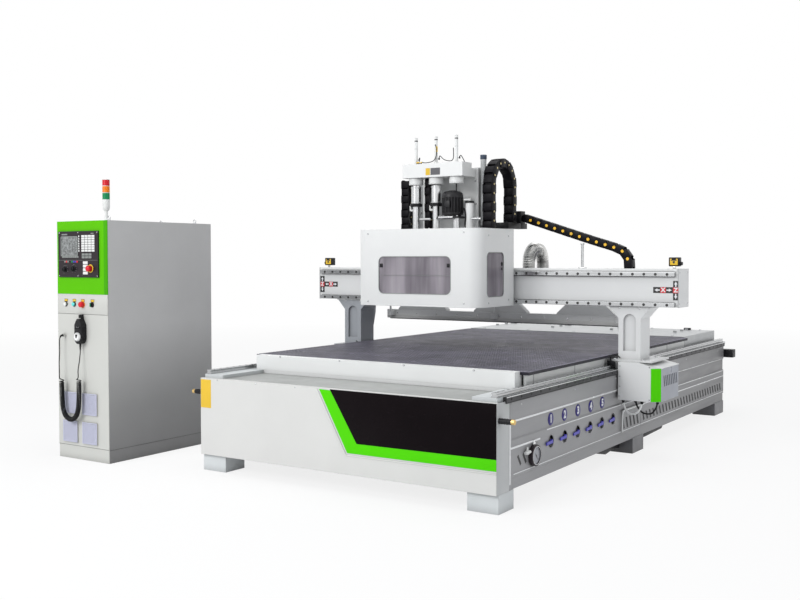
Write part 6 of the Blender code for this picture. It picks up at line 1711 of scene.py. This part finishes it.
def cabinet_details():
    """Edges, seams, buttons, vents, controller, tower, hinges and lifting eyes of the cabinet; the console's
    right edge is in painted shade.
    """
    face = CABINET_FACE
    # A darker green strip on the console's right edge: painted shade where the edge turns from the light.
    right = block((-1.796, -1.7595), (face - 0.0014, face + 0.003), (1.1545, 1.6608), 0.0012)
    piece("console_edge_shade", "base", (GREEN_SHADE, [right]))
    plinth = block((-2.2775, -1.7602), (-0.2048, -0.2004), (0.0005, 0.0915), 0.0008)
    piece("plinth_front", "base", (CABINET, [plinth]))
    strip = block((-2.2805, -1.7612), (face - 0.0012, face + 0.0003), (1.0165, 1.1528), 0.0008)
    piece("button_strip", "base", (CABINET, [strip]))
    seams = [
        block((-2.2812, -1.7605), (face - 0.0004, face + 0.0003), z)
        for z in ((1.014, 1.0158), (0.0925, 0.0945))
    ]
    seams.append(block((-1.7588, -1.761), (-0.2, 0.788), (0.089, 0.0905)))
    piece("cabinet_seams", "base", (BLACK_INK, seams))
    button_bezels(face)
    grilles()
    controller_details()
    tower()
    hinge = []
    for z in (0.3, 0.85, 1.4):
        hinge.append(rod("Z", (-2.2845, 0.786), 0.006, (z - 0.045, z + 0.045), 16))
    piece("door_hinges", "base", (DARK, hinge))
    eyes = [eye_bolt(x, y, 1.6612) for x, y in ((-2.2, 0.7), (-1.84, -0.12), (-1.84, 0.7))]
    piece("lifting_eyes", "base", (STEEL, eyes))


def eye_bolt(x, y, z):
    """Lifting eye: a collar with an upright ring."""
    shape = rod("Z", (x, y), 0.013, (z - 0.001, z + 0.008), 24)
    turns = [math.tau * i / 24 for i in range(25)]
    absorb(
        shape,
        pipe([(x + 0.012 * math.cos(t), y, z + 0.019 + 0.012 * math.sin(t)) for t in turns], 0.0038, 10),
    )
    return shape


def button_bezels(face):
    """Rings and label plates of the four panel buttons, and the caps of the buttons."""
    dark, plates, orange = [], [], []
    bezels = (
        (-2.191, 0.0138, 0.0175, 0.007), (-2.1035, 0.0138, 0.0175, 0.007), (STOP_X, 0.0201, 0.023, 0.004),
        (-1.915, 0.0138, 0.0175, 0.006),
    )
    for x, hole, radius, reach in bezels:
        outer = [(hole, 0.0004), (radius, 0.0004), (radius, 0.004), (radius - 0.002, reach), (hole, reach)]
        target = orange if x == STOP_X else dark
        target.append(lathe("Y", (x, BUTTON_Z), flipped(outer), 36, face - 0.0008, close=True))
        plates.append(block((x - 0.014, x + 0.016), (face - 0.0022, face - 0.001), (1.1025, 1.1165), 0.0004))
        dark.append(block((x - 0.017, x + 0.019), (face - 0.0016, face - 0.0004), (1.0995, 1.1195), 0.0004))
    piece("button_bezels", "base", (BEZEL, dark), (LABEL, plates), (ORANGE, orange), slot="black_plastic")
    dome = [
        (0, -0.034), (0.008, -0.0335), (0.015, -0.031), (0.019, -0.027), (0.0196, -0.0235), (0.0185, -0.0225),
        (0, -0.0225),
    ]
    piece("stop_dome", "stop_button", (RED, [lathe("Y", (STOP_X, BUTTON_Z), dome, 36, face + 0.004)]))
    green = [block((-1.919, -1.911), (face - 0.0235, face - 0.0215), (1.07, 1.096), 0.0008)]
    piece("selector_mark", "selector_switch", (GREEN_LENS, green), (KEY_WHITE, []))
    for name, x, made, slot in (
        ("lamp_cap", -2.191, KEY_WHITE, "white_plastic"), ("start_cap", -2.1035, CYAN, "green_plastic"),
    ):
        crown = [
            (0, -0.0172), (0.0095, -0.017), (0.0122, -0.0158), (0.0128, -0.014), (0.0128, -0.012),
            (0, -0.012),
        ]
        piece(
            name, name.replace("_cap", "_button"), (made, [lathe("Y", (x, BUTTON_Z), crown, 32, face)]),
            slot=slot,
        )


def grilles():
    """Slatted vents: a rim and slats that lean over dark gaps."""
    front = surface("lower_panel", (-2.15, -0.6, 0.19), (0, 1, 0)).y
    slats, dark = [], []
    for x in (-2.225, -2.022):
        for z in (0.117, 0.318):
            dark.append(
                block((x + 0.008, x + 0.142), (front - 0.0006, front + 0.0003), (z + 0.008, z + 0.142))
            )
            for a, b in (
                ((x, x + 0.008), (z, z + 0.15)), ((x + 0.142, x + 0.15), (z, z + 0.15)),
                ((x + 0.008, x + 0.142), (z, z + 0.008)), ((x + 0.008, x + 0.142), (z + 0.142, z + 0.15)),
            ):
                slats.append(block(a, (front - 0.004, front + 0.0003), b, 0.0015))
            for number in range(17):
                low = z + 0.0095 + number * 0.0078
                slat = [
                    (front - 0.0006, low), (front - 0.0036, low - 0.0008), (front - 0.0036, low + 0.0008),
                    (front - 0.0006, low + 0.0052),
                ]
                slats.append(prism("X", slat, (x + 0.008, x + 0.142)))
    piece("vent_grilles", "base", (LAVENDER, slats), (KEY_GREY, dark))


def controller_details():
    """Screen, keys, knobs, plates and emergency dome of the controller."""
    face = CONTROLLER_FACE
    keys, greys, dark, colours = [], [], [], {}
    screen_frame = frame_ring(
        "Y", (-2.222, -2.055), (1.4225, 1.55), 0.003, 0.006, (face - 0.003, face + 0.0004),
    )
    glass = block((-2.2225, -2.0545), (face - 0.0008, face + 0.0003), (1.422, 1.5505), 0.0003)
    for row in range(7):
        for column in range(4):
            keys.append(key((-2.0105 + 0.0345 * column, 1.448 + 0.0167 * row), 0.03, 0.014, face))
    for row in range(7):
        keys.append(key((-2.042, 1.448 + 0.0167 * row), 0.009, 0.012, face))
    for number in range(8):
        greys.append(key((-2.214 + 0.0218 * number, 1.406), 0.0185, 0.013, face))
    for row in range(2):
        for column in range(3):
            greys.append(key((-2.0075 + 0.0345 * column, 1.421 - 0.019 * row), 0.03, 0.015, face))
    for row in range(4):
        keys.append(key((-1.996, 1.362 - 0.0235 * row), 0.048, 0.0195, face))
    small = (
        (KEY_GREY, -2.192), (RED_INK, -2.176), (KEY_GREY, -2.16), (GREEN_LENS, -2.118), (BLUE_LEVER, -2.1),
        (BLUE_LEVER, -2.082), (RED_INK, -2.064),
    )
    for made, x in small:
        colours.setdefault(made, []).append(key((x, 1.373), 0.013, 0.012, face))
    for x, z in ((-2.185, 1.326), (-2.095, 1.331)):
        knob = [
            (0, -0.022), (0.012, -0.022), (0.0145, -0.02), (0.017, -0.004), (0.0225, -0.003),
            (0.0225, 0.0004), (0, 0.0004),
        ]
        dark.append(lathe("Y", (x, z), knob, 32, face))
        dark.append(
            block((x - 0.0025, x + 0.0025), (face - 0.0265, face - 0.021), (z - 0.012, z + 0.012), 0.001)
        )
        for number in range(11):
            turn = math.radians(-60 + 30 * number)
            place = (x + 0.0275 * math.cos(turn), z + 0.0275 * math.sin(turn))
            keys.append(rod("Y", place, 0.0011, (face - 0.0006, face + 0.0002), 8))
    split = block((-2.25, -1.849), (face - 0.0005, face + 0.0003), (1.3885, 1.39))
    yellow = ring_plate(ESTOP, 0.0217, 0.0285, face)
    groups = [
        (KEY_WHITE, keys), (KEY_GREY, greys + [screen_frame, split]), (SCREEN, [glass]), (BLACK, dark),
        (YELLOW, [yellow]),
    ]
    groups += list(colours.items())
    piece("controller_dress", "base", *groups, slot="black_plastic")
    corners = screws(
        "Y", face, [(x, z) for x in (-2.247, -2.05, -1.852) for z in (1.281, 1.58)], 0.004, -0.0015,
    )
    piece("controller_screws", "base", (STEEL, corners))
    strips = [
        block((-2.22, -2.16), (face - 0.0008, face + 0.0003), (1.564, 1.573)),
        block((-1.915, -1.885), (face - 0.0008, face + 0.0003), (1.57, 1.5765)),
    ]
    piece("controller_plates", "base", (KEY_GREY, strips), slot="grey_paint")
    dome = [
        (0, -0.0345), (0.008, -0.034), (0.016, -0.0315), (0.0205, -0.0275), (0.0212, -0.0235),
        (0.02, -0.0225), (0, -0.0225),
    ]
    piece("estop_dome", "estop_button", (RED, [lathe("Y", ESTOP, dome, 36, face + 0.001)]))


def ring_plate(centre, inner, outer, face):
    """Flat ring round a button."""
    profile = [
        (inner, 0.0003), (outer, 0.0003), (outer, -0.0022), (outer - 0.0015, -0.0034), (inner, -0.0034),
    ]
    return lathe("Y", centre, profile, 40, face, close=True)


def key(corner, wide, tall, face, round_by=0.0006):
    """Flat key of the controller, from its lower left corner."""
    x, z = corner
    return block((x, x + wide), (face - 0.0022, face + 0.0003), (z, z + tall), round_by)


def tower():
    """Coloured lens bands with ribs round the signal tower, on its stem and foot."""
    centre, base = (-2.007, 0.0), 1.6613
    groups = []
    for made, low, high in ((GREEN_LENS, 1.818, 1.863), (ORANGE, 1.867, 1.911), (RED, 1.915, 1.9555)):
        profile = [(0.0225, low)]
        wide = (high - low) / 7
        for number in range(7):
            z = low + wide * number
            profile += [(0.0254, z + wide * 0.1), (0.0262, z + wide * 0.5), (0.0254, z + wide * 0.9)]
        profile.append((0.0225, high))
        groups.append((made, [lathe("Z", centre, profile, 40, close=True)]))
    piece("tower_lenses", "base", *groups, slot="red_plastic")
    stem = [
        (0.0, base + 0.012), (0.0115, base + 0.012), (0.0115, 1.735), (0.0165, 1.738), (0.024, 1.752),
        (0.0262, 1.765), (0.0262, 1.817), (0.0235, 1.8175), (0.0235, 1.956), (0.0262, 1.956),
        (0.0255, 1.9585), (0.018, 1.961), (0, 1.9618),
    ]
    foot = [(0, base), (0.0318, base), (0.0318, base + 0.009), (0.0295, base + 0.0115), (0, base + 0.0125)]
    nuts = screws("Z", base + 0.01, [(-2.007 + 0.022, 0.0), (-2.007 - 0.022, 0.0)], 0.005, 0.003)
    shapes = [lathe("Z", centre, stem, 36), lathe("Z", centre, foot, 36)]
    made = piece("tower_body", "base", (KEY_WHITE, shapes), (STEEL, nuts), slot="white_plastic")
    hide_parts("tower_light")


# ---------------------------------------------------------------- pendant


def pendant_details():
    """Switches, grips, top plug and hook of the pendant, and the scale, hub and crank of its wheel."""
    face = surface("pendant", (-2.046, -0.6, 0.9), (0, 1, 0)).y
    keys, black = [], []
    for x, z in ((-2.034, 0.925), (-2.016, 0.925), (-1.998, 0.925)):
        profile = [
            (0, -0.012), (0.0055, -0.012), (0.0065, -0.01), (0.0075, -0.003), (0.0085, 0.0004), (0, 0.0004),
        ]
        black.append(lathe("Y", (x, z), profile, 24, face))
        keys.append(block((x - 0.0008, x + 0.0008), (face - 0.0125, face - 0.0115), (z, z + 0.006)))
    boot = block((-2.047, -1.985), (face - 0.0016, face + 0.0006), (0.9, 0.948), 0.0008)
    grip = []
    for number in range(6):
        z = 0.832 + 0.018 * number
        for side in (-1, 1):
            x = -2.016 + side * 0.0362
            grip.append(block((x - 0.0012, x + 0.0012), (-0.24, -0.214), (z, z + 0.009), 0.001))
    top = [rod("Z", (-2.016, -0.222), 0.012, (0.958, 0.984), 24)]
    for z in (0.912, 0.944):
        top.append(block((-2.0595, -2.0505), (-0.24, -0.216), (z - 0.011, z + 0.011), 0.003))
    top.append(rod("X", (-0.228, 0.965), 0.008, (-2.052, -2.034), 20))
    hook = [
        block((-2.028, -2.004), (-0.232, -0.2055), (0.985, 0.992), 0.002),
        block((-2.0255, -2.0065), (-0.2365, -0.2045), (0.99, 1.0135), 0.003),
    ]
    piece("pendant_switches", "base", (BLACK, black + [boot] + grip + top), (WHITE_INK, keys))
    piece("pendant_hook", "base", (BLACK, hook))
    rim = -0.2646
    marks, dish = [], []
    for number in range(50):
        turn = math.tau * number / 50
        inner, half = (0.0225, 0.0005) if number % 5 == 0 else (0.0245, 0.0003)
        marks.append(prism("Y", ray_stroke(WHEEL, turn, inner, 0.0272, half), (rim - 0.0004, rim + 0.0002)))
    hub = [(0, -0.0026), (0.0062, -0.0026), (0.0078, -0.0005), (0.0078, 0.0003), (0, 0.0003)]
    dish.append(lathe("Y", WHEEL, hub, 36, rim))
    crank = [(0, -0.012), (0.0035, -0.012), (0.0045, -0.0105), (0.0045, 0.0003), (0, 0.0003)]
    dish.append(lathe("Y", (-2.01, 0.874), crank, 20, rim))
    piece("pendant_wheel_dress", "pendant_wheel", (BLACK_INK, marks), (BLACK, dish))


# ---------------------------------------------------------------- the scene


camera()
HOOD_BODY = next(body for body, names in frame["record"]["behaviour"]["bodies"].items() if "hood" in names)
pendant_cord()
sleeve(
    "gland_relief",
    [(-2.205, -0.226, 0.863), (-2.205, -0.233, 0.863), (-2.2055, -0.243, 0.859), (-2.2062, -0.2485, 0.849)],
    0.008, 0.0045,
)
sleeve(
    "pendant_relief",
    [(-2.016, -0.23, 0.8125), (-2.016, -0.23, 0.8), (-2.014, -0.232, 0.78), (-2.0125, -0.2335, 0.768)],
    0.0078, 0.0044,
)
studio()
floor()
dress_nodes()
fascia()
bumpers()
side_details()
gauge()
floor_details()
valve_details()
table_mat()
table_details()
for side_name in ("right", "left"):
    linear_rail(f"guide_{side_name}", f"y_rail_{side_name}", "Y", "base", 0.0625)
toothed_rack(1, "right")
toothed_rack(-1, "left")
linear_rail("guide_upper", "x_rail_upper", "X", "gantry", SCREW_PITCH)
linear_rail("guide_lower", "x_rail_lower", "X", "gantry", SCREW_PITCH)
bed_extras()
gantry_details()
cable_chains()
duct()
head_details()
cabinet_details()
pendant_details()

bpy.context.view_layer.update()
